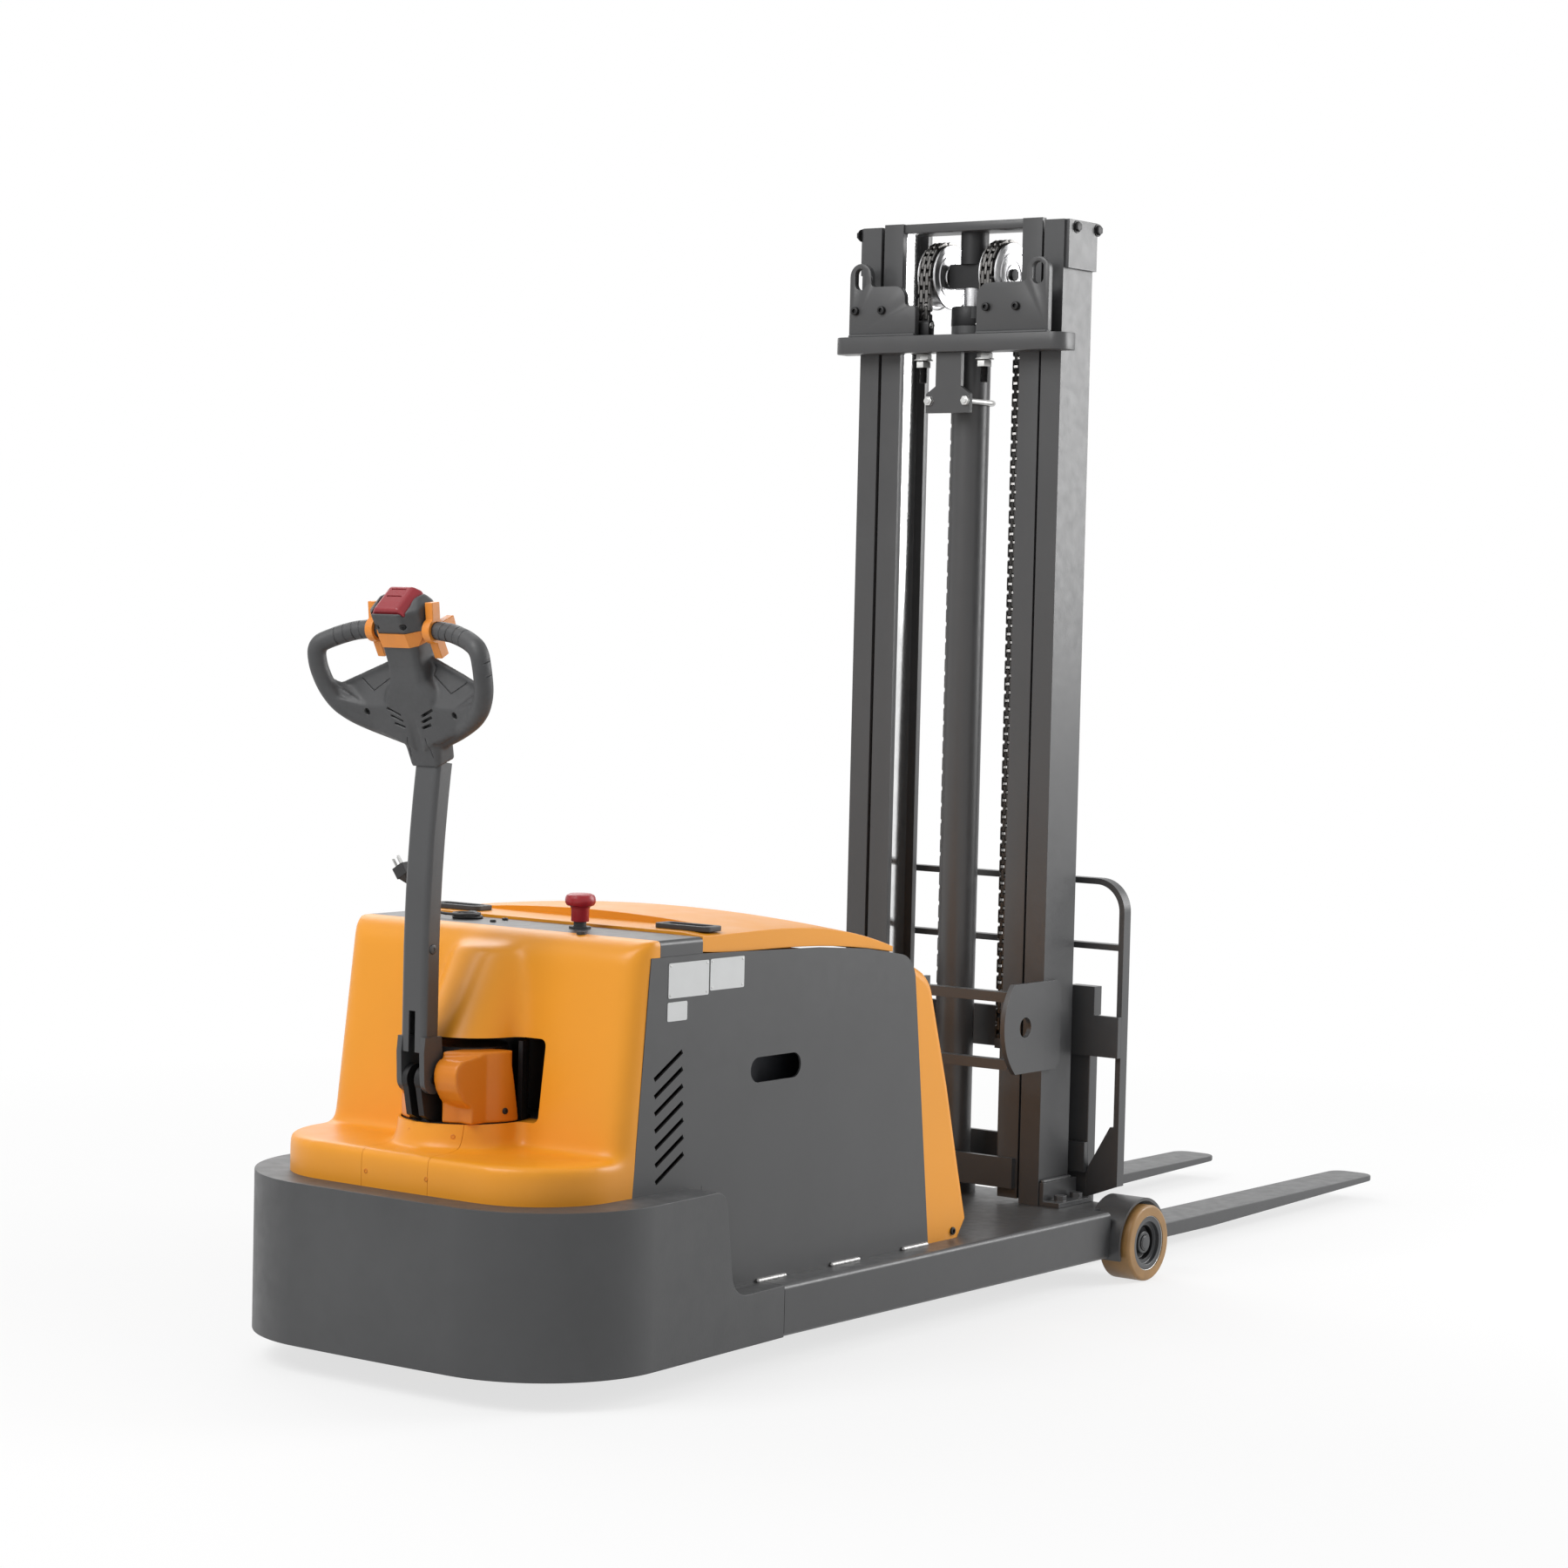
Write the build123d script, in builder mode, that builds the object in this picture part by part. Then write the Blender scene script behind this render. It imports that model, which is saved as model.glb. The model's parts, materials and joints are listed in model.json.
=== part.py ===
from build123d import *
import math
import os

os.makedirs("parts", exist_ok=True)

# Overall stations, millimetres; "mast_x - d" is d behind the mast's rear face
rear_reach = 1663.0
fork_reach = 1390.0
mast_x = (rear_reach - fork_reach) / 2
rear_x = mast_x - rear_reach
fit_gap = 0.3
run_gap = 0.05

# Base frame and front wheels
deck_z = 141.0
deck_t = 10.0
beam_bottom = 50.0
beam_half = 387.0
beam_w = 87.0
beam_wall = 8.0
beam_round = 9.0
wheel_x = mast_x + 122.0
wheel_r = 75.0
wheel_w = 70.0
wheel_outer = 424.5
hub_r = 54.0
axle_r = 15.0
wheel_plate_t = 12.0
wheel_side_gap = 8.5
wheel_plate_in = wheel_outer - wheel_w - wheel_side_gap - wheel_plate_t
fender_gap = 7.0
fender_t = 6.0
fender_short = 14.5
fender_out = wheel_outer - fender_short
fender_from = 27.0
fender_to = 199.0
crease_x = mast_x - 1028.0
beam_front = wheel_x - wheel_r - fender_gap - 2.0
deck_rear = mast_x - 1225.0
deck_front = mast_x + 130.0
cross_plate_t = 12.0

# Counterweight
skirt_top = 327.0
skirt_t = 45.0
skirt_flare = 0.05
skirt_corner = 235.0
skirt_bow = 12.0
flange_w = 76.0
flange_t = 12.0
step_top_x = mast_x - 1212.0
step_foot_x = mast_x - 1183.0
step_top_r = 30.0
step_foot_r = 45.0

# Covers and plates
plate_out = 333.0
plate_t = 4.0
skin = 4.0
strip_foot = 724.0
plate_rear_top = (mast_x - 1349.0, strip_foot - fit_gap)
plate_rear_foot_x = mast_x - 1387.0
plate_notch_x = mast_x - 1200.0
plate_top = [(mast_x - 1210.0, 724.0), (mast_x - 1057.0, 719.0), (mast_x - 872.0, 714.0),
             (mast_x - 730.0, 703.0), (mast_x - 582.0, 680.0)]
plate_front_foot_x = mast_x - 515.0
plate_front_r = 55.0
slot_x = mast_x - 997.0
slot_z = 512.0
slot_long = 145.0
slot_wide = 44.0
louvre_x = mast_x - 1298.0
louvre_z = 541.0
louvre_long = 84.0
louvre_wide = 6.0
louvre_turn = 30.0
louvre_step = 29.0
louvre_shift = 1.5
louvre_count = 7
strip_rear = mast_x - 1326.0
strip_front = mast_x - 1211.0
strip_top = 752.0
strip_t = 3.0
strip_round = 9.0
cover_ledge = 392.0
cover_rear = mast_x - 1606.0
cover_bow = 8.0
cover_corner = 150.0
ledge_round = 14.0
wall_foot_x = mast_x - 1426.0
wall_top_x = mast_x - 1378.0
cover_front = strip_rear - fit_gap
cover_top = 752.0
wall_round = 30.0
niche_half = 152.0
niche_foot = 436.0
niche_h = 141.0
niche_top = niche_foot + niche_h
niche_back = mast_x - 1352.0
niche_round = 12.0
hood_foot_r = 88.0
hood_top_r = 70.0
hood_shift = 92.0
hood_top = 744.0
collar_foot_r = 118.0
collar_top_r = 112.0
panel_half = 74.0
front_points = [(mast_x - 640.0, 682.0), (mast_x - 596.0, 674.0), (mast_x - 512.0, 640.0),
                (mast_x - 445.0, 432.0), (mast_x - 406.0, 291.0), (mast_x - 372.0, 172.0)]
front_foot_x = mast_x - 394.0
front_round = 24.0
lid_rear = mast_x - 1208.0
lid_front = mast_x - 646.0
lid_half = 329.0
lid_rows = [(lid_rear, 726.0, 753.0, 16.0), (mast_x - 1050.0, 720.0, 754.0, 18.0),
            (mast_x - 866.0, 715.5, 747.0, 18.0), (mast_x - 770.0, 708.0, 733.0, 16.0),
            (lid_front, 692.0, 702.0, 8.0)]
lid_shelf_x = mast_x - 1105.0
lid_shelf_z = 757.0
pull_x = mast_x - 1160.0
pull_y = 260.0
pull_long = 118.0
pull_wide = 48.0
pull_t = 9.0

# Steering, drive and tiller
steer_x = mast_x - 1430.0
drum_r = 106.0
drum_wall = 8.0
drum_floor = niche_foot - 11.0
drum_floor_t = 12.0
drum_top = niche_top - 7.0
drum_clear = 3.5
drum_open = 76.0
mount_t = 16.0
mount_z = skirt_top - flange_t - mount_t
ring_r = 95.0
motor_r = 70.0
motor_top = drum_floor + 135.0
drive_r = 115.0
drive_w = 75.0
drive_axle_r = 15.0
pivot_x = mast_x - 1546.0
pivot_z = drum_floor + 85.0
pin_r = 8.0
cheek_in = 8.0
cheek_out = 20.0
cheek_r = 24.0
ear_in = 20.4
ear_out = 31.0
ball_x = mast_x - 1530.0
ball_z = drum_floor + 45.0
ball_pin_r = 5.0
strut_r = 4.0
strut_head_r = 7.0
strut_top = 150.0
shroud_in = 36.0
shroud_out = 62.0
nose_r = 34.0
shroud_top = pivot_z + 50.0
arm_x = mast_x - 1549.0
arm_foot = pivot_z + 46.0
arm_bend = 700.0
arm_top_x = mast_x - 1525.5
arm_top = 1040.0
arm_deep = 40.0
arm_wide = 55.0
arm_round = 10.0
arm_wall = 3.5

# Control head, in its own leaning plane: rows run up the head, depths run to its rear
head_x = mast_x - 1528.0
head_z = 1030.0
head_lean = 20.0
head_rows = [(9.0, 32.0, -27.0, 20.0, 6.0, 5.0), (42.0, 38.0, -28.0, 20.0, 8.0, 8.0),
             (108.0, 68.0, -30.0, 24.0, 16.0, 16.0), (130.0, 66.0, -30.0, 24.0, 16.0, 16.0),
             (160.0, 40.0, -32.0, 22.0, 10.0, 10.0), (184.0, 36.0, -34.0, 19.0, 8.0, 7.0),
             (221.0, 38.0, -38.0, 19.5, 9.0, 8.0), (246.0, 52.0, -44.0, 24.0, 12.0, 22.0),
             (282.0, 54.0, -46.0, 33.0, 13.0, 24.0), (299.0, 44.0, -34.0, -3.0, 10.0, 10.0)]
front_row = head_rows[2]
band_rows = (head_rows[6], head_rows[7])
band_proud = 3.0
paddle_row = 242.0
paddle_back = -7.0
spindle_r = 14.0
paddle_in = 55.5
paddle_out = 72.0
paddle_r = 21.0
lobe_reach = 47.0
lobe_wide = 19.0
lobe_turns = [2.0, 76.0, 278.0]
rim_r = 16.0
rim_points = [(paddle_out + 4.0, paddle_row, paddle_back), (108.0, 240.0, -4.0), (148.0, 232.0, 6.0),
              (182.0, 222.0, 22.0), (184.0, 188.0, 27.0), (177.0, 150.0, 26.0), (160.0, 120.0, 24.0),
              (135.0, 99.0, 18.0), (104.0, 82.0, 10.0), (70.0, 66.0, 1.0), (30.0, 50.0, -5.0)]
wing_points = [(10.0, 40.0), (30.0, 50.0), (104.0, 82.0), (134.0, 100.0), (158.0, 121.0), (172.0, 150.0),
               (172.0, 176.0), (100.0, 205.0), (10.0, 232.0)]
wing_back = 24.0
wing_front = -23.0
wing_facet = [(50.0, 188.0, -23.0), (150.0, 148.0, 0.0), (97.0, 114.0, 24.0)]
wing_thin_from = 40.0
wing_thin_to = 160.0
wing_thin_back = 0.0
belly_half = 37.0
belly_face_half = 25.0
belly_long = 62.0
belly_row = 302.0
belly_back = 2.5
belly_turn = 24.0
belly_deep = 26.0
belly_bevel = 13.0
belly_end = 3.0
belly_travel = 6.0
button_r = 9.0
button_deep = 12.0
button_proud = 5.0
button_travel = 4.0
button_row = 119.0
lift_y = 34.0
horn_r = 11.0

# Switches and cord
estop_x = mast_x - 1255.0
estop_y = -98.0
estop_stem_r = 11.0
estop_collar_r = 14.5
estop_cap_r = 26.5
estop_travel = 8.0
estop_base_r = 19.0
key_x = mast_x - 1337.0
key_y = -170.0
key_r = 8.5
key_stem_r = 5.0
cord_r = 2.5
coil_x = mast_x - 1254.0
coil_y = 161.0
coil_r = 25.5
coil_pitch = 5.6
coil_arcs = 3
climb_steps = 18
lead_points = [(0.0, 34.0, 0.0), (-4.0, 79.0, 15.0), (-8.0, 101.0, 50.0)]
plug_long = 34.0
plug_wide = 26.0
plug_deep = 19.0
blade_long = 17.0

# Mast
channel_in = 195.0
channel_out = 241.0
channel_deep = 107.0
channel_t = 14.0
channel_web = 10.0
mast_top = 2080.0
inner_in = 143.0
inner_out = 189.0
inner_web_in = 162.0
inner_web_out = 170.0
inner_rear = 2.0
inner_deep = 103.0
inner_t = 14.0
inner_foot = 150.0
inner_top = mast_top - 14.0
top_bar_t = 19.0
roller_gap = 0.3
cap_proud = 8.0
cap_foot = mast_top - 95.0
tie_z = mast_top - 257.0
tie_t = 34.0
tie_deep = 32.0
tie_half = 274.0
eye_t = 14.0
eye_h = 181.0
eye_top = tie_z + eye_h
eye_bolts = {1: (155.0, 220.0), -1: (96.0, 165.0)}
lift_x = mast_x + 48.0
barrel_r = 38.0
bore_r = 30.0
rod_r = 20.0
gland_r = 43.0
gland_foot = tie_z + 40.0
gland_top = gland_foot + 54.0
piston_foot = 230.0
piston_t = 40.0
sheave_y = 72.0
sheave_w = 44.0
sheave_z = mast_top - 101.0
sheave_r = 64.5
pitch_r = 64.0
chain_w = 28.0
chain_t = 13.0
sheave_pin_r = 12.0
clamp_foot = tie_z - 120.0
clamp_shoulder = tie_z - 82.0
clamp_neck = tie_z - 67.0
strap_z = tie_z - 96.0
strap_rest = 24.0
crosshead_half = 48.0
crosshead_h = 48.0
boss_r = 28.0
tie_plate_t = 10.0
hole_x = mast_x - 77.0
hole_z = 502.0
hole_r = 20.0
tie_bar = 20.0
foot_h = 46.0
foot_w = 47.0

# Carriage, backrest and forks
fork_x = mast_x + 150.0
fork_t = 30.0
fork_in = 154.0
fork_out = 259.0
fork_top = 53.0
fork_shank = 480.0
fork_tip_t = 12.0
fork_tip_r = 34.0
bar_t = 12.0
wide_foot = 460.0
wide_top = 512.0
stop_y = 243.0
stop_h = 58.0
stop_w = 60.0
rest_half = 330.0
rest_bar = 12.0
rest_deep = 25.0
rest_top = 785.0
rest_mid = 655.0
rest_foot = 172.0
rest_round = 65.0
side_in = 128.0
side_t = 10.0
side_foot = 190.0
side_top = 560.0
low_roller_z = 260.0
high_roller_z = 500.0
anchor_z = 450.0


def outline(points):
    with BuildLine() as ring:
        Polyline(*points, close=True)
    make_face(ring.edges())


def skirt_half(x):
    return beam_half + (crease_x - x) * skirt_flare


def skirt_face(sketch, inset, front):
    back = rear_x + inset + skirt_bow
    with BuildLine() as ring:
        Polyline((back, inset - skirt_half(back)), (front, inset - skirt_half(front)),
                 (front, skirt_half(front) - inset), (back, skirt_half(back) - inset))
        ThreePointArc((back, skirt_half(back) - inset), (rear_x + inset, 0), (back, inset - skirt_half(back)))
    make_face(ring.edges())
    fillet(sketch.vertices().sort_by(Axis.X)[:2], skirt_corner - inset)


def side_plane(y):
    return Plane.XZ.offset(-y)


# Base frame
with BuildPart() as base_frame:
    for side in (1, -1):
        with BuildSketch(Plane.YZ.offset(crease_x)):
            with Locations((side * (beam_half - beam_w / 2), (deck_z + beam_bottom) / 2)):
                RectangleRounded(beam_w, deck_z - beam_bottom, beam_round)
                Rectangle(beam_w - 2 * beam_wall, deck_z - beam_bottom - 2 * beam_wall, mode=Mode.SUBTRACT)
        extrude(amount=beam_front - crease_x)
    deck_half = beam_half - beam_w + beam_wall
    with BuildSketch(Plane.XY.offset(deck_z - deck_t)):
        outline([(deck_rear, -deck_half), (beam_front, -deck_half), (beam_front, -wheel_plate_in - 1),
                 (deck_front, -wheel_plate_in - 1), (deck_front, wheel_plate_in + 1),
                 (beam_front, wheel_plate_in + 1), (beam_front, deck_half), (deck_rear, deck_half)])
    extrude(amount=deck_t)
    for x in (deck_front - cross_plate_t, mast_x - cross_plate_t, crease_x):
        with BuildSketch(Plane.YZ.offset(x)):
            with Locations((0, (beam_bottom + deck_z) / 2)):
                Rectangle(2 * deck_half, deck_z - beam_bottom - 2 * beam_round)
        extrude(amount=cross_plate_t)
    fender_r = wheel_r + fender_gap
    for side in (1, -1):
        with BuildSketch(side_plane(side * wheel_plate_in)) as wheel_plate:
            with Locations((wheel_x, wheel_r)):
                Circle(fender_r + fender_t)
            with Locations(((beam_front + wheel_x) / 2 - cross_plate_t / 2, (deck_z + beam_bottom) / 2)):
                Rectangle(wheel_x - beam_front + cross_plate_t, deck_z - beam_bottom)
            with Locations((wheel_x, 0)):
                Rectangle(4 * wheel_r, 2 * beam_bottom - 8, mode=Mode.SUBTRACT)
        extrude(amount=-side * wheel_plate_t)
        with BuildSketch(side_plane(side * (wheel_plate_in + wheel_plate_t / 2))):
            with BuildLine():
                CenterArc((wheel_x, wheel_r), fender_r, fender_from, fender_to - fender_from)
                CenterArc((wheel_x, wheel_r), fender_r + fender_t, fender_from, fender_to - fender_from)
                for turn in (fender_from, fender_to):
                    a = math.radians(turn)
                    inner = (wheel_x + fender_r * math.cos(a), wheel_r + fender_r * math.sin(a))
                    outer = (wheel_x + (fender_r + fender_t) * math.cos(a),
                             wheel_r + (fender_r + fender_t) * math.sin(a))
                    Line(inner, outer)
            make_face()
        extrude(amount=-side * (fender_out - wheel_plate_in - wheel_plate_t / 2))
        with BuildSketch(side_plane(side * wheel_plate_in)):
            with Locations((wheel_x, wheel_r)):
                Circle(axle_r)
        extrude(amount=-side * (wheel_outer - 8 - wheel_plate_in))
    with BuildSketch(Plane.XY.offset(deck_z)):
        with Locations((lift_x, 0)):
            Circle(barrel_r + 12)
            Circle(barrel_r + fit_gap, mode=Mode.SUBTRACT)
    extrude(amount=20)
base_frame.part.label = "base_frame"
export_step(base_frame.part, "parts/base_frame.step")

# Front wheels: hub and tyre on each stub axle
for side, name in ((1, "left"), (-1, "right")):
    wheel_plane = Plane(origin=(wheel_x, 0, wheel_r), x_dir=(0, side, 0), z_dir=(side, 0, 0))
    wheel_axis = Axis((wheel_x, 0, wheel_r), (0, 1, 0))
    wheel_in = wheel_outer - wheel_w
    with BuildPart() as front_hub:
        with BuildSketch(wheel_plane):
            outline([(wheel_in + 2, axle_r + run_gap), (wheel_outer - 8, axle_r + run_gap),
                     (wheel_outer - 8, 0), (wheel_outer - 2, 0), (wheel_outer - 2, hub_r * 0.34),
                     (wheel_outer - 6, hub_r * 0.36), (wheel_outer - 6, hub_r * 0.55),
                     (wheel_outer - 12, hub_r * 0.6), (wheel_outer - 12, hub_r * 0.8),
                     (wheel_outer - 4, hub_r * 0.84), (wheel_outer - 3, hub_r - run_gap),
                     (wheel_in + 3, hub_r - run_gap), (wheel_in + 3, hub_r * 0.8),
                     (wheel_in + 14, hub_r * 0.7), (wheel_in + 2, hub_r * 0.55)])
        revolve(axis=wheel_axis)
    front_hub.part.label = f"front_hub_{name}"
    export_step(front_hub.part, f"parts/front_hub_{name}.step")
    with BuildPart() as front_tyre:
        with BuildSketch(wheel_plane) as tyre_cut:
            with Locations((wheel_outer - wheel_w / 2, (hub_r + wheel_r) / 2)):
                Rectangle(wheel_w, wheel_r - hub_r)
            fillet(tyre_cut.vertices().sort_by(Axis.Y)[2:], 6)
        revolve(axis=wheel_axis)
    front_tyre.part.label = f"front_tyre_{name}"
    export_step(front_tyre.part, f"parts/front_tyre_{name}.step")

# Counterweight: a thick wall round the rear with an inward top flange
with BuildPart() as counterweight:
    with BuildSketch(Plane.XY.offset(beam_bottom)) as skirt_out:
        skirt_face(skirt_out, 0, crease_x)
    extrude(amount=skirt_top - beam_bottom)
    with BuildSketch(Plane.XY.offset(beam_bottom)) as skirt_in:
        skirt_face(skirt_in, skirt_t, crease_x + 1)
    extrude(amount=skirt_top - beam_bottom - flange_t, mode=Mode.SUBTRACT)
    with BuildSketch(Plane.XY.offset(beam_bottom)) as flange_in:
        skirt_face(flange_in, flange_w, crease_x + 1)
    extrude(amount=skirt_top - beam_bottom, mode=Mode.SUBTRACT)
    with BuildSketch(Plane.XZ) as skirt_side:
        outline([(rear_x - 1, beam_bottom), (crease_x, beam_bottom), (crease_x, deck_z),
                 (step_foot_x, deck_z), (step_top_x, skirt_top), (rear_x - 1, skirt_top)])
        fillet(skirt_side.vertices().filter_by(lambda v: abs(v.X - step_foot_x) < 1), step_foot_r)
        fillet(skirt_side.vertices().filter_by(lambda v: abs(v.X - step_top_x) < 1), step_top_r)
    extrude(amount=skirt_half(rear_x) + 10, both=True, mode=Mode.INTERSECT)
counterweight.part.label = "counterweight"
export_step(counterweight.part, "parts/counterweight.step")

# Plate that carries the drive unit, on a bulkhead that stands on the deck
with BuildPart() as drive_mount:
    with BuildSketch(Plane.XY.offset(mount_z)) as mount_face:
        skirt_face(mount_face, flange_w - 16, deck_rear + mount_t)
        with Locations((steer_x, 0)):
            Circle(ring_r, mode=Mode.SUBTRACT)
    extrude(amount=mount_t)
    with BuildSketch(Plane.YZ.offset(deck_rear)):
        with Locations((0, (deck_z + mount_z) / 2)):
            Rectangle(2 * deck_half, mount_z - deck_z)
    extrude(amount=mount_t)
drive_mount.part.label = "drive_mount"
export_step(drive_mount.part, "parts/drive_mount.step")

# Side plates with hand slot and louvres
for side, name in ((1, "left"), (-1, "right")):
    with BuildPart() as side_plate:
        with BuildSketch(side_plane(side * (plate_out - plate_t))) as plate_face:
            outline([plate_rear_top] + plate_top + [(plate_front_foot_x, deck_z), (plate_notch_x, deck_z),
                    (plate_notch_x, skirt_top), (plate_rear_foot_x, skirt_top)])
            fillet(plate_face.vertices().filter_by(lambda v: abs(v.X - plate_top[-1][0]) < 1), plate_front_r)
            with Locations((slot_x, slot_z)):
                SlotOverall(slot_long, slot_wide, mode=Mode.SUBTRACT)
            for i in range(louvre_count):
                with Locations((louvre_x + i * louvre_shift, louvre_z - i * louvre_step)):
                    SlotOverall(louvre_long, louvre_wide, rotation=louvre_turn, mode=Mode.SUBTRACT)
        extrude(amount=-side * plate_t)
    side_plate.part.label = f"side_plate_{name}"
    export_step(side_plate.part, f"parts/side_plate_{name}.step")

# Rear cover: ledge, leaning wall, hood over the niche and collar, all hollow
cover_end = plate_rear_foot_x - fit_gap
cover_lean = (cover_end, skirt_top)
cover_step = (plate_rear_top[0] - fit_gap, strip_foot)


def cover_body(inset, foot):
    with BuildSketch(Plane.XY.offset(foot)) as ledge:
        back = cover_rear + cover_bow + inset
        half = plate_out - inset
        with BuildLine() as ring:
            Polyline((back, -half), (cover_end, -half), (cover_end, half), (back, half))
            ThreePointArc((back, half), (cover_rear + inset, 0), (back, -half))
        make_face(ring.edges())
        fillet(ledge.vertices().sort_by(Axis.X)[:2], cover_corner - inset)
    extrude(ledge.sketch, amount=cover_ledge - inset - foot)
    with BuildSketch(Plane.XZ) as wall:
        if inset:
            outline([(wall_foot_x + inset, foot), (wall_top_x + inset, cover_top - inset),
                     (strip_front, cover_top - inset), (strip_front, foot)])
        else:
            outline([(wall_foot_x, cover_ledge - 1), (wall_top_x, cover_top), (cover_front, cover_top),
                     (cover_front, strip_foot), cover_step, cover_lean, (wall_foot_x, skirt_top)])
    extrude(wall.sketch, amount=plate_out - inset, both=True)


def wall_edges(part, inset):
    middle = (wall_foot_x + wall_top_x) / 2 + inset
    reach = wall_top_x - wall_foot_x
    return part.edges().filter_by(
        lambda e: abs(e.center().X - middle) < reach / 2 + 1 and e.center().Z > cover_ledge + wall_round
        and (abs(e.center().Y) < 1 or abs(e.center().X - middle) < reach / 4))


with BuildPart() as cover_hollow:
    cover_body(skin, skirt_top - 5)
    fillet(wall_edges(cover_hollow, skin), wall_round - skin)
    with BuildSketch(Plane.XY.offset(niche_top - 2 * skin)):
        with Locations((steer_x, 0)):
            Circle(hood_foot_r - skin)
    with BuildSketch(Plane.XY.offset(hood_top - skin)):
        with Locations((steer_x + hood_shift, 0)):
            Circle(hood_top_r - skin)
    loft()
    with BuildSketch(Plane.YZ.offset(niche_back + skin)):
        with Locations((0, (niche_foot + niche_top) / 2)):
            RectangleRounded(2 * (niche_half + skin), niche_top - niche_foot + 2 * skin, niche_round + skin)
    extrude(amount=-400, mode=Mode.SUBTRACT)

with BuildPart() as cover_form:
    cover_body(0, skirt_top)
    fillet(wall_edges(cover_form, 0), wall_round)
    with BuildSketch(Plane.XY.offset(niche_top - skin)):
        with Locations((steer_x, 0)):
            Circle(hood_foot_r)
    with BuildSketch(Plane.XY.offset(hood_top)):
        with Locations((steer_x + hood_shift, 0)):
            Circle(hood_top_r)
    loft()
    with BuildSketch(Plane.XY.offset(cover_ledge - 1)):
        with Locations((steer_x, 0)):
            Circle(collar_foot_r)
    with BuildSketch(Plane.XY.offset(niche_foot)):
        with Locations((steer_x, 0)):
            Circle(collar_top_r)
    loft()
    add(cover_hollow.part, mode=Mode.SUBTRACT)
    with BuildSketch(Plane.YZ.offset(niche_back)):
        with Locations((0, (niche_foot + niche_top) / 2)):
            RectangleRounded(2 * niche_half, niche_top - niche_foot, niche_round)
    extrude(amount=-400, mode=Mode.SUBTRACT)
    with BuildSketch(Plane.XY.offset(skirt_top - 1)):
        with Locations((steer_x, 0)):
            Circle(drum_r + drum_clear)
    extrude(amount=niche_top - skirt_top - niche_round, mode=Mode.SUBTRACT)
    with BuildSketch(Plane.XY.offset(cover_top - 10 * skin)):
        with Locations((key_x, key_y)):
            Circle(key_stem_r + run_gap)
    extrude(amount=12 * skin, mode=Mode.SUBTRACT)


def panel_box(half, mode):
    with BuildSketch(Plane.XY.offset(skirt_top - 10)) as box:
        with Locations((cover_rear - 10, 0)):
            Rectangle(steer_x - drum_clear - cover_rear + 10, 2 * half, align=(Align.MIN, Align.CENTER))
    extrude(box.sketch, amount=niche_foot - skirt_top + 20, mode=mode)


with BuildPart() as rear_cover:
    add(cover_form.part)
    panel_box(panel_half + fit_gap, Mode.SUBTRACT)
rear_cover.part.label = "rear_cover"
export_step(rear_cover.part, "parts/rear_cover.step")

with BuildPart() as access_panel:
    add(cover_form.part)
    panel_box(panel_half, Mode.INTERSECT)
access_panel.part.label = "access_panel"
export_step(access_panel.part, "parts/access_panel.step")

# Sheet strip across the side plates
with BuildPart() as dash_strip:
    with BuildSketch(Plane.YZ.offset(strip_rear)) as strip_cut:
        outline([(-plate_out, strip_foot), (-plate_out, strip_top), (plate_out, strip_top),
                 (plate_out, strip_foot)])
        fillet(strip_cut.vertices().sort_by(Axis.Y)[2:], strip_round)
        outline_half = plate_out - strip_t
        with Locations((0, (strip_foot + strip_top - strip_t) / 2 - 1)):
            Rectangle(2 * outline_half, strip_top - strip_t - strip_foot + 2, mode=Mode.SUBTRACT)
    extrude(amount=strip_front - strip_rear)
    for y in (1, -1):
        with BuildSketch(Plane.XY.offset(strip_foot)):
            with Locations(((strip_rear + strip_front) / 2, y * (plate_out - plate_t / 2 - 8))):
                Rectangle(strip_front - strip_rear - 30, plate_t + 12)
        extrude(amount=strip_t)
dash_strip.part.label = "dash_strip"
export_step(dash_strip.part, "parts/dash_strip.step")

# Front cover: an open-backed shell between the side plates
front_half = plate_out - plate_t - fit_gap
with BuildPart() as front_cover:
    with BuildSketch(Plane.XZ):
        outline(front_points + [(front_foot_x, deck_z), (front_points[0][0], deck_z)])
    extrude(amount=front_half, both=True)
    fillet(front_cover.edges().filter_by(
        lambda e: abs(abs(e.center().Y) - front_half) < 1 and e.center().X > front_points[1][0] + 20
        and e.center().Z > deck_z + 1), front_round)
    with BuildSketch(Plane.XZ):
        inner = [(x - 1.2 * skin, z - skin) for x, z in front_points[1:]]
        outline([(front_points[0][0] - 1, front_points[0][1] - skin)] + inner
                + [(front_foot_x - skin, deck_z - 1), (front_points[0][0] - 1, deck_z - 1)])
    extrude(amount=front_half - skin, both=True, mode=Mode.SUBTRACT)
front_cover.part.label = "front_cover"
export_step(front_cover.part, "parts/front_cover.step")


# Battery cover: crowned across and arched along
def lid_section(row, inset):
    x, foot, edge, crown = row
    half = lid_half - inset
    with BuildSketch(Plane.YZ.offset(x)) as section:
        with BuildLine() as ring:
            Polyline((-half, edge - inset), (-half, foot - inset), (half, foot - inset), (half, edge - inset))
            ThreePointArc((half, edge - inset), (0, edge + crown - inset), (-half, edge - inset))
        make_face(ring.edges())
    return section.sketch


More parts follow.
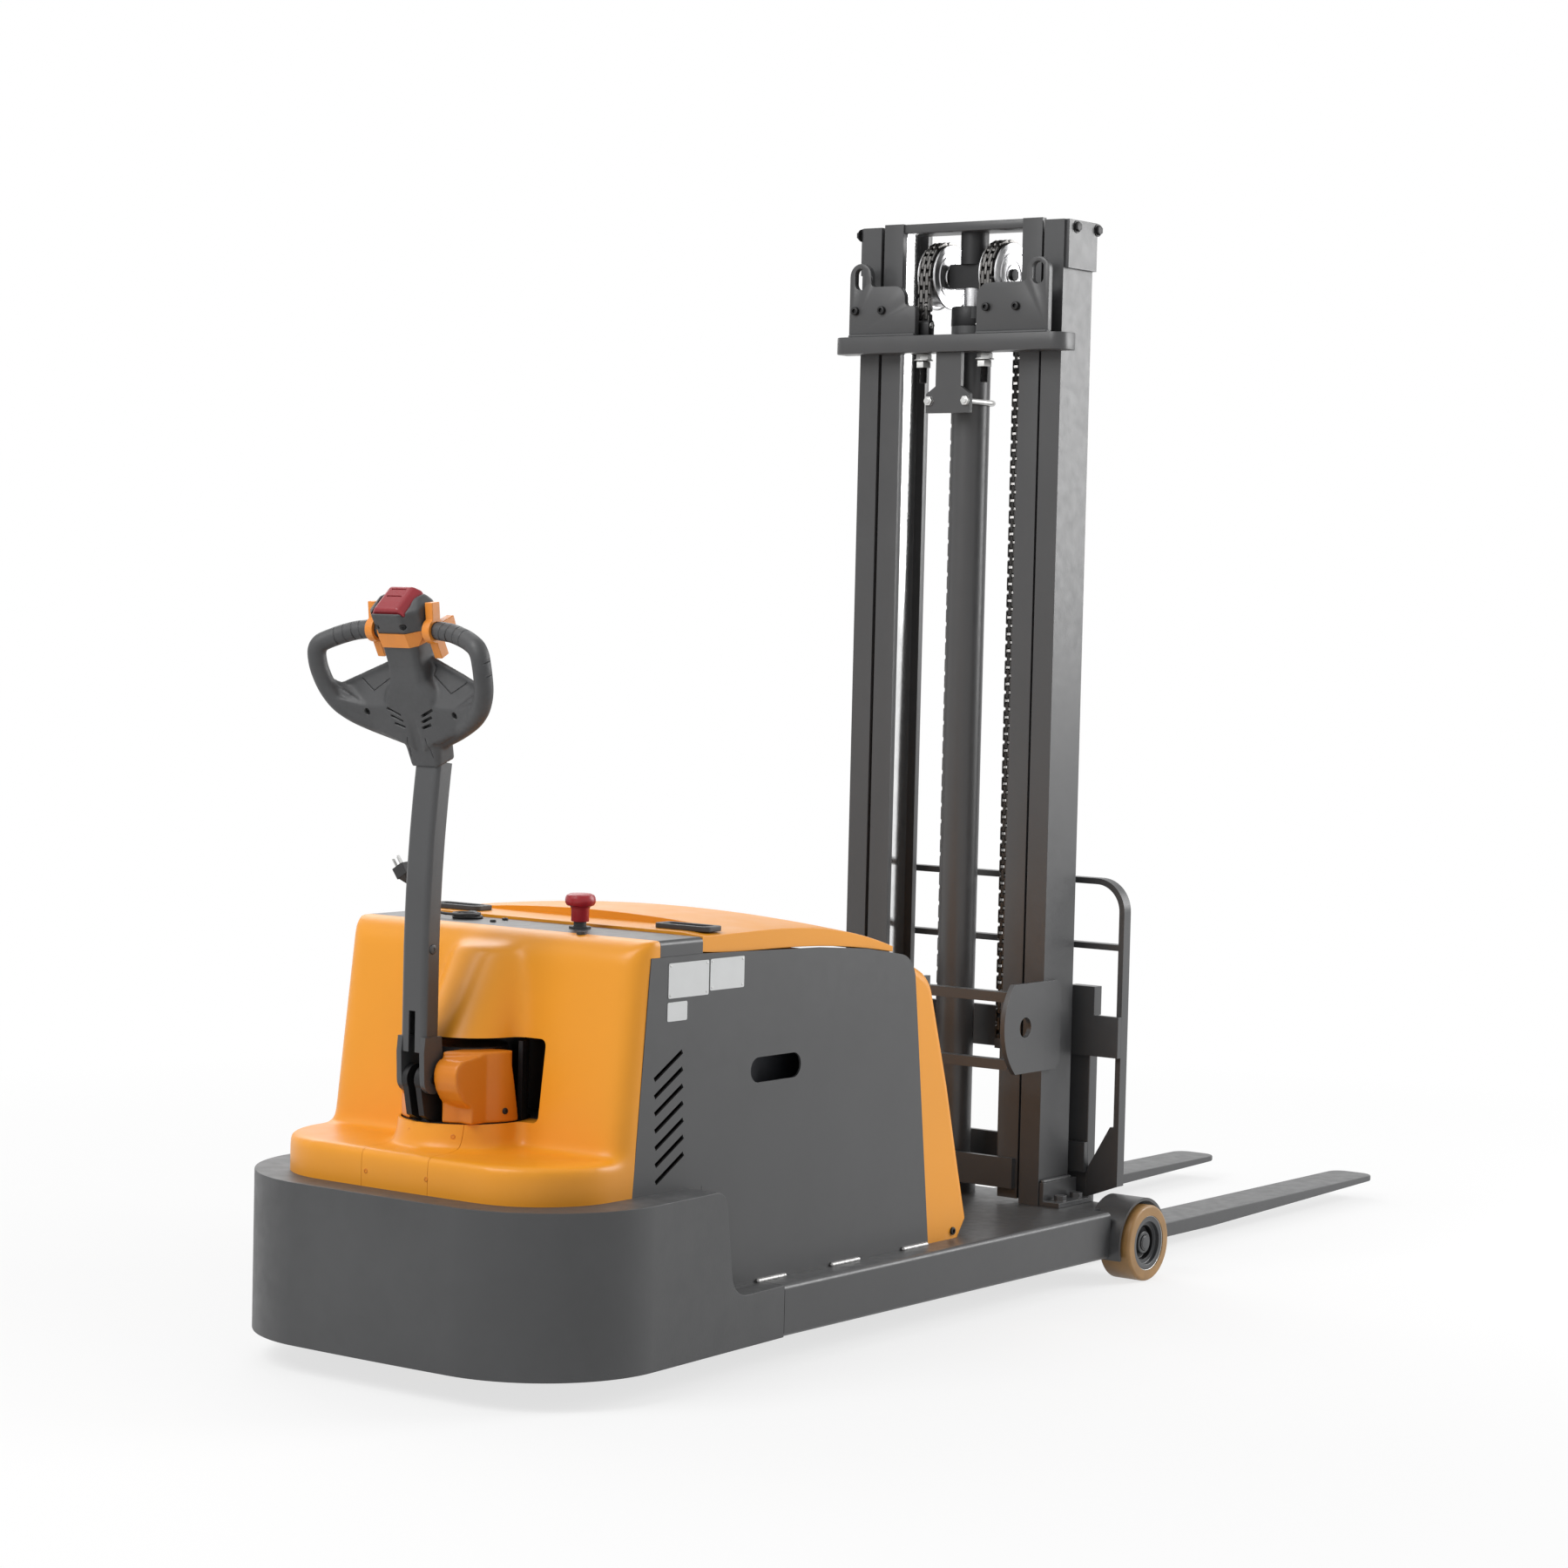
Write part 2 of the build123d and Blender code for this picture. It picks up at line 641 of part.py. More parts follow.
with BuildPart() as lid_hollow:
    inner_rows = []
    for row in lid_rows:
        step = skin if row is lid_rows[0] else (-skin if row is lid_rows[-1] else 0)
        inner_rows.append(lid_section((row[0] + step,) + row[1:], skin))
    loft(inner_rows)
    with BuildSketch(Plane.XY.offset(lid_shelf_z - skin)):
        with Locations((lid_shelf_x + skin, 0)):
            Rectangle(400, 2 * plate_out, align=(Align.MAX, Align.CENTER))
    extrude(amount=100, mode=Mode.SUBTRACT)
with BuildPart() as battery_cover:
    loft([lid_section(row, 0) for row in lid_rows])
    with BuildSketch(Plane.XY.offset(lid_shelf_z)):
        with Locations((lid_shelf_x, 0)):
            Rectangle(400, 2 * plate_out, align=(Align.MAX, Align.CENTER))
    extrude(amount=100, mode=Mode.SUBTRACT)
    add(lid_hollow.part, mode=Mode.SUBTRACT)
battery_cover.part.label = "battery_cover"
export_step(battery_cover.part, "parts/battery_cover.step")

with BuildPart() as cover_pulls:
    for side in (1, -1):
        with BuildSketch(Plane.XY.offset(lid_shelf_z)):
            with Locations((pull_x, side * pull_y)):
                RectangleRounded(pull_wide, pull_long, 12)
        extrude(amount=pull_t)
        with BuildSketch(Plane.XY.offset(lid_shelf_z + pull_t)):
            with Locations((pull_x, side * pull_y)):
                RectangleRounded(pull_wide - 16, pull_long - 24, 8)
        extrude(amount=-pull_t + 3, mode=Mode.SUBTRACT)
cover_pulls.part.label = "cover_pulls"
export_step(cover_pulls.part, "parts/cover_pulls.step")

# Inside the covers
battery_rear = mast_x - 1040.0
battery_long = 340.0
battery_wide = 270.0
battery_tall = 430.0
with BuildPart() as batteries:
    for side in (1, -1):
        with BuildSketch(Plane.XY.offset(deck_z)):
            with Locations((battery_rear, side * 8)):
                Rectangle(battery_long, battery_wide, align=(Align.MIN, Align.MIN if side > 0 else Align.MAX))
        extrude(amount=battery_tall)
batteries.part.label = "batteries"
export_step(batteries.part, "parts/batteries.step")

tank_rear = mast_x - 660.0
with BuildPart() as power_unit:
    with BuildSketch(Plane.XY.offset(deck_z)):
        with Locations((tank_rear, 0)):
            Rectangle(150, 300, align=(Align.MIN, Align.CENTER))
    extrude(amount=220)
    with BuildSketch(Plane.XY.offset(deck_z + 220)):
        with Locations((tank_rear + 75, 60)):
            Circle(60)
    extrude(amount=180)
power_unit.part.label = "power_unit"
export_step(power_unit.part, "parts/power_unit.step")

with BuildPart() as motor_controller:
    with BuildSketch(Plane.XY.offset(deck_z)):
        with Locations((mast_x - 1130.0, 120)):
            Rectangle(70, 200)
    extrude(amount=150)
motor_controller.part.label = "motor_controller"
export_step(motor_controller.part, "parts/motor_controller.step")

with BuildPart() as charger:
    with BuildSketch(Plane.XY.offset(deck_z)):
        with Locations((mast_x - 1110.0, -140)):
            Rectangle(110, 220)
    extrude(amount=170)
charger.part.label = "charger"
export_step(charger.part, "parts/charger.step")

# Steering: drum, drive unit with motor, wheel
with BuildPart() as turret_drum:
    with BuildSketch(Plane.XY.offset(drum_floor)):
        with Locations((steer_x, 0)):
            Circle(drum_r)
            Circle(motor_r + fit_gap, mode=Mode.SUBTRACT)
    extrude(amount=drum_floor_t)
    with BuildSketch(Plane.XY.offset(drum_floor + drum_floor_t)):
        with BuildLine():
            CenterArc((steer_x, 0), drum_r, -drum_open, 2 * drum_open)
            CenterArc((steer_x, 0), drum_r - drum_wall, -drum_open, 2 * drum_open)
            for turn in (-drum_open, drum_open):
                a = math.radians(turn)
                Line((steer_x + drum_r * math.cos(a), drum_r * math.sin(a)),
                     (steer_x + (drum_r - drum_wall) * math.cos(a), (drum_r - drum_wall) * math.sin(a)))
        make_face()
    extrude(amount=drum_top - drum_floor - drum_floor_t)
turret_drum.part.label = "turret_drum"
export_step(turret_drum.part, "parts/turret_drum.step")

fork_clear = 3.0
fork_plate = 18.0
with BuildPart() as drive_unit:
    with BuildSketch(Plane.XY.offset(mount_z + mount_t + fit_gap)):
        with Locations((steer_x, 0)):
            Circle(ring_r + 12)
    extrude(amount=10)
    with BuildSketch(Plane.XY.offset(2 * drive_r + 8)):
        with Locations((steer_x, 0)):
            Circle(ring_r - fit_gap)
    extrude(amount=mount_z + mount_t + fit_gap - 2 * drive_r - 8)
    with BuildSketch(Plane.XY.offset(mount_z + mount_t + fit_gap)):
        with Locations((steer_x, 0)):
            Circle(motor_r)
    extrude(amount=motor_top - mount_z - mount_t - fit_gap)
    with BuildSketch(Plane.XY.offset(drum_floor - 14)):
        with Locations((steer_x, 0)):
            Circle(motor_r + 14)
    extrude(amount=14)
    for side in (1, -1):
        with BuildSketch(side_plane(side * (drive_w / 2 + fork_clear))):
            with Locations((steer_x, drive_r)):
                Circle(45)
            with Locations((steer_x, (3 * drive_r + 20) / 2)):
                Rectangle(90, drive_r + 20)
        extrude(amount=-side * fork_plate)
    with BuildSketch(side_plane(drive_w / 2 + fork_clear + 1)):
        with Locations((steer_x, drive_r)):
            Circle(drive_axle_r)
    extrude(amount=drive_w + 2 * fork_clear + 2)
drive_unit.part.label = "drive_unit"
export_step(drive_unit.part, "parts/drive_unit.step")

with BuildPart() as drive_wheel:
    with BuildSketch(Plane(origin=(steer_x, 0, drive_r), x_dir=(0, 1, 0), z_dir=(1, 0, 0))) as drive_cut:
        with Locations((0, (drive_axle_r + run_gap + drive_r) / 2)):
            Rectangle(drive_w, drive_r - drive_axle_r - run_gap)
        fillet(drive_cut.vertices().sort_by(Axis.Y)[2:], 7)
    revolve(axis=Axis((steer_x, 0, drive_r), (0, 1, 0)))
drive_wheel.part.label = "drive_wheel"
export_step(drive_wheel.part, "parts/drive_wheel.step")

# Tiller bracket: two cheeks on the drum floor with the pivot pin and the strut pin
floor_z = drum_floor + drum_floor_t
with BuildPart() as tiller_bracket:
    for side in (1, -1):
        with BuildSketch(side_plane(side * cheek_in)):
            with Locations((pivot_x, pivot_z)):
                Circle(cheek_r)
            outline([(steer_x - drum_r + 4, floor_z), (steer_x - motor_r - 4, floor_z),
                     (steer_x - motor_r - 4, floor_z + 30), (pivot_x + 10, pivot_z + cheek_r - 3),
                     (pivot_x - cheek_r + 3, pivot_z - 8), (pivot_x - 10, floor_z + 12)])
        extrude(amount=-side * (cheek_out - cheek_in))
    with BuildSketch(Plane.XY.offset(floor_z)):
        with Locations(((2 * steer_x - drum_r - motor_r) / 2, 0)):
            Rectangle(drum_r - motor_r - 8, 2 * cheek_in + 2)
    extrude(amount=12)
    for side in (1, -1):
        with BuildSketch(side_plane(side * cheek_in)):
            with Locations((pivot_x, pivot_z)):
                Circle(pin_r)
        extrude(amount=-side * (ear_out + 2 - cheek_in))
    with BuildSketch(side_plane(cheek_in + 1)):
        with Locations((ball_x, ball_z)):
            Circle(ball_pin_r)
    extrude(amount=2 * cheek_in + 2)
tiller_bracket.part.label = "tiller_bracket"
export_step(tiller_bracket.part, "parts/tiller_bracket.step")

# Shrouds on both sides of the bracket; the right one has a hollow cheek round the pivot
with BuildPart() as tiller_shrouds:
    for side in (1, -1):
        foot = pivot_x + 24
        end = steer_x - drum_r + 28
        for inset, mode in ((0, Mode.ADD), (skin, Mode.SUBTRACT)) if side < 0 else ():
            with BuildSketch(side_plane(side * (shroud_in - (1 if inset else 0)))):
                with Locations((pivot_x, pivot_z)):
                    Circle(nose_r - inset)
                outline([(pivot_x, pivot_z + nose_r - inset), (end - inset, shroud_top - 6 - inset),
                         (end - inset, floor_z + inset), (foot + inset, floor_z + inset),
                         (foot + inset, pivot_z - nose_r * 0.6), (pivot_x, pivot_z - nose_r + inset)])
            extrude(amount=-side * (shroud_out - shroud_in - inset + (1 if inset else 0)), mode=mode)
        from_turn = drum_open + 1
        to_turn = 143.0
        with BuildSketch(Plane.XY.offset(floor_z)):
            with BuildLine():
                CenterArc((steer_x, 0), drum_r, side * from_turn, side * (to_turn - from_turn))
                CenterArc((steer_x, 0), drum_r - drum_wall, side * from_turn, side * (to_turn - from_turn))
                for turn in (from_turn, to_turn):
                    a = math.radians(side * turn)
                    Line((steer_x + drum_r * math.cos(a), drum_r * math.sin(a)),
                         (steer_x + (drum_r - drum_wall) * math.cos(a), (drum_r - drum_wall) * math.sin(a)))
            make_face()
        extrude(amount=shroud_top - floor_z)
tiller_shrouds.part.label = "tiller_shrouds"
export_step(tiller_shrouds.part, "parts/tiller_shrouds.step")

# Gas strut: eye on the strut pin, rod, head inside the arm
strut_run = math.hypot(pivot_x - ball_x, pivot_z + strut_top - ball_z)
strut_dir = ((pivot_x - ball_x) / strut_run, 0, (pivot_z + strut_top - ball_z) / strut_run)
with BuildPart() as gas_strut:
    strut_plane = Plane(origin=(ball_x, 0, ball_z), x_dir=(0, 1, 0), z_dir=strut_dir)
    with BuildSketch(strut_plane):
        Circle(strut_r)
    extrude(amount=strut_run - 20)
    with BuildSketch(strut_plane.offset(strut_run - 28)):
        Circle(strut_head_r)
    extrude(amount=40)
    with BuildSketch(side_plane(strut_r + 1)):
        with Locations((ball_x, ball_z)):
            Circle(ball_pin_r + 6)
    extrude(amount=2 * strut_r + 2)
    with BuildSketch(side_plane(strut_r + 2)):
        with Locations((ball_x, ball_z)):
            Circle(ball_pin_r + run_gap)
    extrude(amount=2 * strut_r + 4, mode=Mode.SUBTRACT)
gas_strut.part.label = "gas_strut"
export_step(gas_strut.part, "parts/gas_strut.step")

# Tiller arm: bent box tube with two ears on the pivot pin
with BuildPart() as tiller_arm:
    with BuildLine() as arm_line:
        Line((arm_x, 0, arm_foot), (arm_x, 0, arm_bend))
        TangentArc((arm_x, 0, arm_bend), (arm_top_x, 0, arm_top), tangent=(0, 0, 1))
    with BuildSketch(Plane.XY.offset(arm_foot)) as arm_cut:
        with Locations((arm_x, 0)):
            RectangleRounded(arm_deep, arm_wide, arm_round)
            RectangleRounded(arm_deep - 2 * arm_wall, arm_wide - 2 * arm_wall, arm_round - arm_wall,
                             mode=Mode.SUBTRACT)
    sweep(path=arm_line.wire())
    for side in (1, -1):
        with BuildSketch(side_plane(side * ear_in)):
            with Locations((pivot_x, pivot_z)):
                Circle(cheek_r)
            outline([(pivot_x - cheek_r, pivot_z), (pivot_x + cheek_r, pivot_z),
                     (arm_x + arm_deep / 2 + 3, arm_foot), (arm_x + arm_deep / 2, arm_foot + 26),
                     (arm_x - arm_deep / 2, arm_foot + 26), (arm_x - arm_deep / 2 - 3, arm_foot)])
            with Locations((pivot_x, pivot_z)):
                Circle(pin_r + run_gap, mode=Mode.SUBTRACT)
        extrude(amount=-side * (ear_out - ear_in))
    with BuildSketch(Plane.XY.offset(arm_foot - 1)):
        with Locations((arm_x - arm_deep / 2, 0)):
            Rectangle(2 * arm_wall + 4, 2 * strut_head_r)
    extrude(amount=70, mode=Mode.SUBTRACT)
tiller_arm.part.label = "tiller_arm"
export_step(tiller_arm.part, "parts/tiller_arm.step")

# Control head: faceted core and two closed grips
lean = math.radians(head_lean)
head_up = (-math.sin(lean), 0, math.cos(lean))
head_back = (-math.cos(lean), 0, -math.sin(lean))


def head_level(row):
    return Plane(origin=(head_x + row * head_up[0], 0, head_z + row * head_up[2]),
                 x_dir=(0, -1, 0), z_dir=head_up)


def head_face(depth):
    return Plane(origin=(head_x + depth * head_back[0], 0, head_z + depth * head_back[2]),
                 x_dir=(0, -1, 0), z_dir=head_back)


def head_section(half, front, back, front_cut, back_cut):
    outline([(-half, -front - front_cut), (-half + front_cut, -front), (half - front_cut, -front),
             (half, -front - front_cut), (half, -back + back_cut), (half - back_cut, -back),
             (-half + back_cut, -back), (-half, -back + back_cut)])


def head_side(y):
    return Plane(origin=(head_x, y, head_z), x_dir=(-head_back[0], 0, -head_back[2]), z_dir=(0, -1, 0))


def head_point(y, row, depth):
    return (head_x + row * head_up[0] + depth * head_back[0], y,
            head_z + row * head_up[2] + depth * head_back[2])


def corner_radii(route):
    runs = [Vector(*route[i + 1]) - Vector(*route[i]) for i in range(len(route) - 1)]
    radii = []
    for run, after in zip(runs, runs[1:]):
        turn = math.radians(run.get_angle(after))
        radii.append(0.45 * min(run.length, after.length) / math.tan(turn / 2))
    return radii


belly_lean = lean + math.radians(belly_turn)
belly_plane = Plane(origin=head_point(0, belly_row, belly_back), x_dir=(0, -1, 0),
                    z_dir=(-math.sin(belly_lean), 0, math.cos(belly_lean)))

with BuildPart() as head_core:
    for row, half, front, back, front_cut, back_cut in head_rows:
        with BuildSketch(head_level(row)):
            head_section(half, front, back, front_cut, back_cut)
    loft(ruled=True)

# Wings and grips: the wing's upper side slopes forward, its front thins outwards, a round rim runs about it
facet_points = [Vector(*head_point(*point)) for point in wing_facet]
facet_plane = Plane(origin=facet_points[0],
                    z_dir=(facet_points[1] - facet_points[0]).cross(facet_points[2] - facet_points[0]))
wing_far = 2 * wing_points[-1][1]
with BuildPart() as head_grips:
    with BuildSketch(head_face(wing_front)):
        outline([(-y, row) for y, row in wing_points])
    extrude(amount=wing_back - wing_front)
    split(bisect_by=facet_plane, keep=Keep.BOTTOM)
    with BuildSketch(head_level(0)):
        outline([(-wing_thin_from, -wing_front), (-wing_thin_to, -wing_thin_back),
                 (-wing_thin_to - rim_r, -wing_thin_back), (-wing_thin_to - rim_r, 1 - wing_front),
                 (-wing_thin_from, 1 - wing_front)])
    extrude(amount=wing_far, mode=Mode.SUBTRACT)
    rim_route = [head_point(*point) for point in rim_points]
    with BuildLine() as rim_line:
        FilletPolyline(*rim_route, radius=corner_radii(rim_route))
    with BuildSketch(Plane(origin=rim_route[0], z_dir=rim_line.wire() % 0)):
        Circle(rim_r)
    sweep(path=rim_line.wire())
    mirror(about=Plane.XZ)

with BuildPart() as head_shell:
    add(head_core.part)
    add(head_grips.part)
    with BuildSketch(head_side(paddle_out + 6)):
        with Locations((-paddle_back, paddle_row)):
            Circle(spindle_r)
    extrude(amount=2 * paddle_out + 12)
    with BuildSketch(belly_plane.offset(-belly_deep - belly_travel - 1)):
        Rectangle(2 * (belly_half + fit_gap), belly_long + 2 * fit_gap)
    extrude(amount=2 * belly_deep, mode=Mode.SUBTRACT)
    with BuildSketch(head_face(front_row[2] - 2)):
        with Locations((lift_y, button_row), (-lift_y, button_row)):
            Circle(button_r + fit_gap)
        with Locations((0, button_row)):
            Circle(horn_r + fit_gap)
    extrude(amount=2 + button_deep, mode=Mode.SUBTRACT)
    add(tiller_arm.part, mode=Mode.SUBTRACT)
head_shell.part.label = "head_shell"
export_step(head_shell.part, "parts/head_shell.step")

with BuildPart() as head_band:
    for row, half, front, back, front_cut, back_cut in band_rows:
        with BuildSketch(head_level(row)):
            head_section(half + band_proud, front - band_proud, back + band_proud, front_cut + band_proud,
                         back_cut + band_proud)
    loft(ruled=True)
    add(head_shell.part, mode=Mode.SUBTRACT)
head_band.part.label = "head_band"
export_step(head_band.part, "parts/head_band.step")

with BuildPart() as thumb_paddles:
    for side in (1, -1):
        with BuildSketch(head_side(side * paddle_in)):
            with Locations((-paddle_back, paddle_row)):
                Circle(paddle_r)
            for turn in lobe_turns:
                a = math.radians(turn)
                with Locations((lobe_reach / 2 * math.cos(a) - paddle_back,
                                lobe_reach / 2 * math.sin(a) + paddle_row)):
                    Rectangle(lobe_reach, lobe_wide, rotation=turn)
            with Locations((-paddle_back, paddle_row)):
                Circle(spindle_r + fit_gap, mode=Mode.SUBTRACT)
        extrude(amount=-side * (paddle_out - paddle_in))
thumb_paddles.part.label = "thumb_paddles"
export_step(thumb_paddles.part, "parts/thumb_paddles.step")

with BuildPart() as belly_button:
    with BuildSketch(belly_plane.offset(-belly_deep)):
        Rectangle(2 * belly_half, belly_long)
    extrude(amount=belly_deep - belly_bevel)
    with BuildSketch(belly_plane.offset(-belly_bevel)):
        Rectangle(2 * belly_half, belly_long)
    with BuildSketch(belly_plane):
        Rectangle(2 * belly_face_half, belly_long - 2 * belly_end)
    loft()
belly_button.part.label = "belly_button"
export_step(belly_button.part, "parts/belly_button.step")

for name, y, r in (("lower_button", lift_y, button_r), ("lift_button", -lift_y, button_r),
                   ("horn_button", 0, horn_r)):
    with BuildPart() as push:
        with BuildSketch(head_face(front_row[2] - button_proud)):
            with Locations((y, button_row)):
                Circle(r)
        extrude(amount=button_proud + button_deep - button_travel)
    push.part.label = name
    export_step(push.part, f"parts/{name}.step")

# Switches
with BuildPart() as estop_base:
    with BuildSketch(Plane.XY.offset(strip_top)):
        with Locations((estop_x, estop_y)):
            Circle(estop_base_r)
    extrude(amount=4)
    with BuildSketch(Plane.XY.offset(strip_top)):
        with Locations((estop_x, estop_y)):
            Circle(estop_stem_r)
    extrude(amount=24)
estop_base.part.label = "estop_base"
export_step(estop_base.part, "parts/estop_base.step")

knob_foot = strip_top + 4 + estop_travel
with BuildPart() as estop_knob:
    with BuildSketch(Plane.XY.offset(knob_foot)):
        with Locations((estop_x, estop_y)):
            Circle(estop_collar_r)
    extrude(amount=22)
    with BuildSketch(Plane.XY.offset(knob_foot + 21)):
        with Locations((estop_x, estop_y)):
            Circle(estop_cap_r)
    extrude(amount=28)
    fillet(estop_knob.faces().sort_by(Axis.Z)[-1].edges(), 9)
    with BuildSketch(Plane.XY.offset(knob_foot - 1)):
        with Locations((estop_x, estop_y)):
            Circle(estop_stem_r + run_gap)
    extrude(amount=23 + estop_travel, mode=Mode.SUBTRACT)
estop_knob.part.label = "estop_knob"
export_step(estop_knob.part, "parts/estop_knob.step")

with BuildPart() as key_switch:
    with BuildSketch(Plane.XY.offset(cover_top)):
        with Locations((key_x, key_y)):
            Circle(key_r)
    extrude(amount=5)
    with BuildSketch(Plane.XY.offset(cover_top - skin)):
        with Locations((key_x, key_y)):
            Circle(key_stem_r)
    extrude(amount=skin)
    with BuildSketch(Plane.XY.offset(cover_top + 5)):
        with Locations((key_x, key_y)):
            Rectangle(2.4, 11)
    extrude(amount=-2.5, mode=Mode.SUBTRACT)
key_switch.part.label = "key_switch"
export_step(key_switch.part, "parts/key_switch.step")

# Charger cord: flat coil of two layers on the strip, lead and plug
layer_low = strip_top + cord_r
layer_high = layer_low + coil_pitch
half_pitch = coil_pitch / 2


def half_turn(k, mirror, shift, z):
    r = coil_r - k * half_pitch
    centre = 0 if k % 2 == 0 else -half_pitch
    sign = 1 if k % 2 == 0 else -1
    points = []
    for x, y in ((centre + sign * r, 0), (centre, -sign * r), (centre - sign * r, 0)):
        points.append((coil_x + shift + mirror * x, coil_y + y, z))
    return points


with BuildPart() as cord_coil:
    with BuildLine() as coil_line:
        first = half_turn(0, 1, 0, layer_low)[0]
        Line((first[0], first[1] + 2 * cord_r, first[2]), first)
        for k in range(coil_arcs):
            ThreePointArc(*half_turn(k, 1, 0, layer_low))
        climb = half_turn(coil_arcs, 1, 0, layer_low)
        climb_r = coil_r - coil_arcs * half_pitch
        climb_points = []
        for i in range(climb_steps + 1):
            a = math.pi * i / climb_steps
            rise = coil_pitch * (1 - math.cos(a)) / 2
            climb_points.append((climb[1][0] - climb_r * math.cos(a), coil_y + climb_r * math.sin(a),
                                 layer_low + rise))
        climb_end = climb_points[-1]
        Spline(*climb_points, tangents=[(0, 1, 0), (0, -1, 0)])
        shift = climb_end[0] - coil_x + half_turn(coil_arcs - 1, 1, 0, 0)[2][0] - coil_x
        for k in reversed(range(coil_arcs)):
            ThreePointArc(*reversed(half_turn(k, -1, shift, layer_high)))
        last = half_turn(0, -1, shift, layer_high)[0]
        lead_start = (last[0], last[1] + 2 * cord_r, last[2])
        Line(last, lead_start)
    with BuildSketch(Plane(origin=coil_line.wire() @ 0, z_dir=coil_line.wire() % 0)):
        Circle(cord_r)
    sweep(path=coil_line.wire())
cord_coil.part.label = "cord_coil"
export_step(cord_coil.part, "parts/cord_coil.step")
coil_run = [coil_line.wire() @ (i / 400) for i in range(401)]
coil_step = coil_line.wire().length / 400
coil_skip = int(5 * cord_r / coil_step) + 1
coil_gap = min((coil_run[i] - coil_run[j]).length for i in range(401) for j in range(i + coil_skip, 401))
print("coil length", round(coil_line.wire().length, 1), "least gap", round(coil_gap - 2 * cord_r, 2))

with BuildPart() as cord_lead:
    route = [lead_start] + [tuple(a + b for a, b in zip(lead_start, p)) for p in lead_points]
    radii = corner_radii(route)
    with BuildLine() as lead_line:
        FilletPolyline(*route, radius=radii)
    with BuildSketch(Plane(origin=lead_start, z_dir=lead_line.wire() % 0)):
        Circle(cord_r)
    sweep(path=lead_line.wire())
cord_lead.part.label = "cord_lead"
export_step(cord_lead.part, "parts/cord_lead.step")
print("lead radii", [round(r, 1) for r in radii], "length", round(lead_line.wire().length, 1))

lead_end = lead_line.wire() @ 1
plug_plane = Plane(origin=lead_end, x_dir=(1, 0, 0), z_dir=lead_line.wire() % 1)
with BuildPart() as charger_plug:
    with BuildSketch(plug_plane):
        Circle(cord_r + 2)
    with BuildSketch(plug_plane.offset(plug_long * 0.4)):
        RectangleRounded(plug_deep, plug_wide * 0.8, 4)
    loft()
    with BuildSketch(plug_plane.offset(plug_long * 0.4)):
        RectangleRounded(plug_deep + 2, plug_wide, 4)
    extrude(amount=plug_long * 0.6)
    with BuildSketch(plug_plane.offset(plug_long - 1)):
        with Locations((0, plug_wide * 0.26), (0, -plug_wide * 0.26)):
            Rectangle(6.3, 1.6)
        with Locations((plug_deep * 0.3, 0)):
            Circle(2.2)
    extrude(amount=blade_long + 1)
charger_plug.part.label = "charger_plug"
export_step(charger_plug.part, "parts/charger_plug.step")

with BuildPart() as cord_grommet:
    with BuildSketch(Plane.XY.offset(strip_top)):
        with Locations((first[0] + 2, first[1] + 2 * cord_r + 7)):
            RectangleRounded(9, 14, 2)
    extrude(amount=4 * cord_r)
cord_grommet.part.label = "cord_grommet"
export_step(cord_grommet.part, "parts/cord_grommet.step")

# Outer mast channels, each with an upper roller and a cap block
for side, name in ((1, "left"), (-1, "right")):
    with BuildPart() as outer_mast:
        with BuildSketch(Plane.XY.offset(deck_z)):
            with Locations((mast_x + channel_deep / 2, side * (channel_in + channel_out) / 2)):
                Rectangle(channel_deep, channel_out - channel_in)
            channel_mid = (channel_in - 1 + channel_out - channel_web) / 2
            with Locations((mast_x + channel_deep / 2, side * channel_mid)):
                Rectangle(channel_deep - 2 * channel_t, channel_out - channel_web - channel_in + 1,
                          mode=Mode.SUBTRACT)
        extrude(amount=mast_top - deck_z)
        with BuildSketch(side_plane(side * (inner_web_out + 2))):
            with Locations((mast_x + channel_deep / 2, sheave_z + 40)):
                Circle((inner_deep - 2 * inner_t) / 2 - roller_gap)
        extrude(amount=-side * (channel_out - channel_web - inner_web_out - 1))
        with BuildSketch(side_plane(side * (channel_out - 1))):
            with Locations((mast_x + channel_deep / 2 + 4, (cap_foot + mast_top) / 2)):
                Rectangle(channel_deep - 4, mast_top - cap_foot)
        extrude(amount=-side * (cap_proud + 1))
    outer_mast.part.label = f"outer_mast_{name}"
    export_step(outer_mast.part, f"parts/outer_mast_{name}.step")

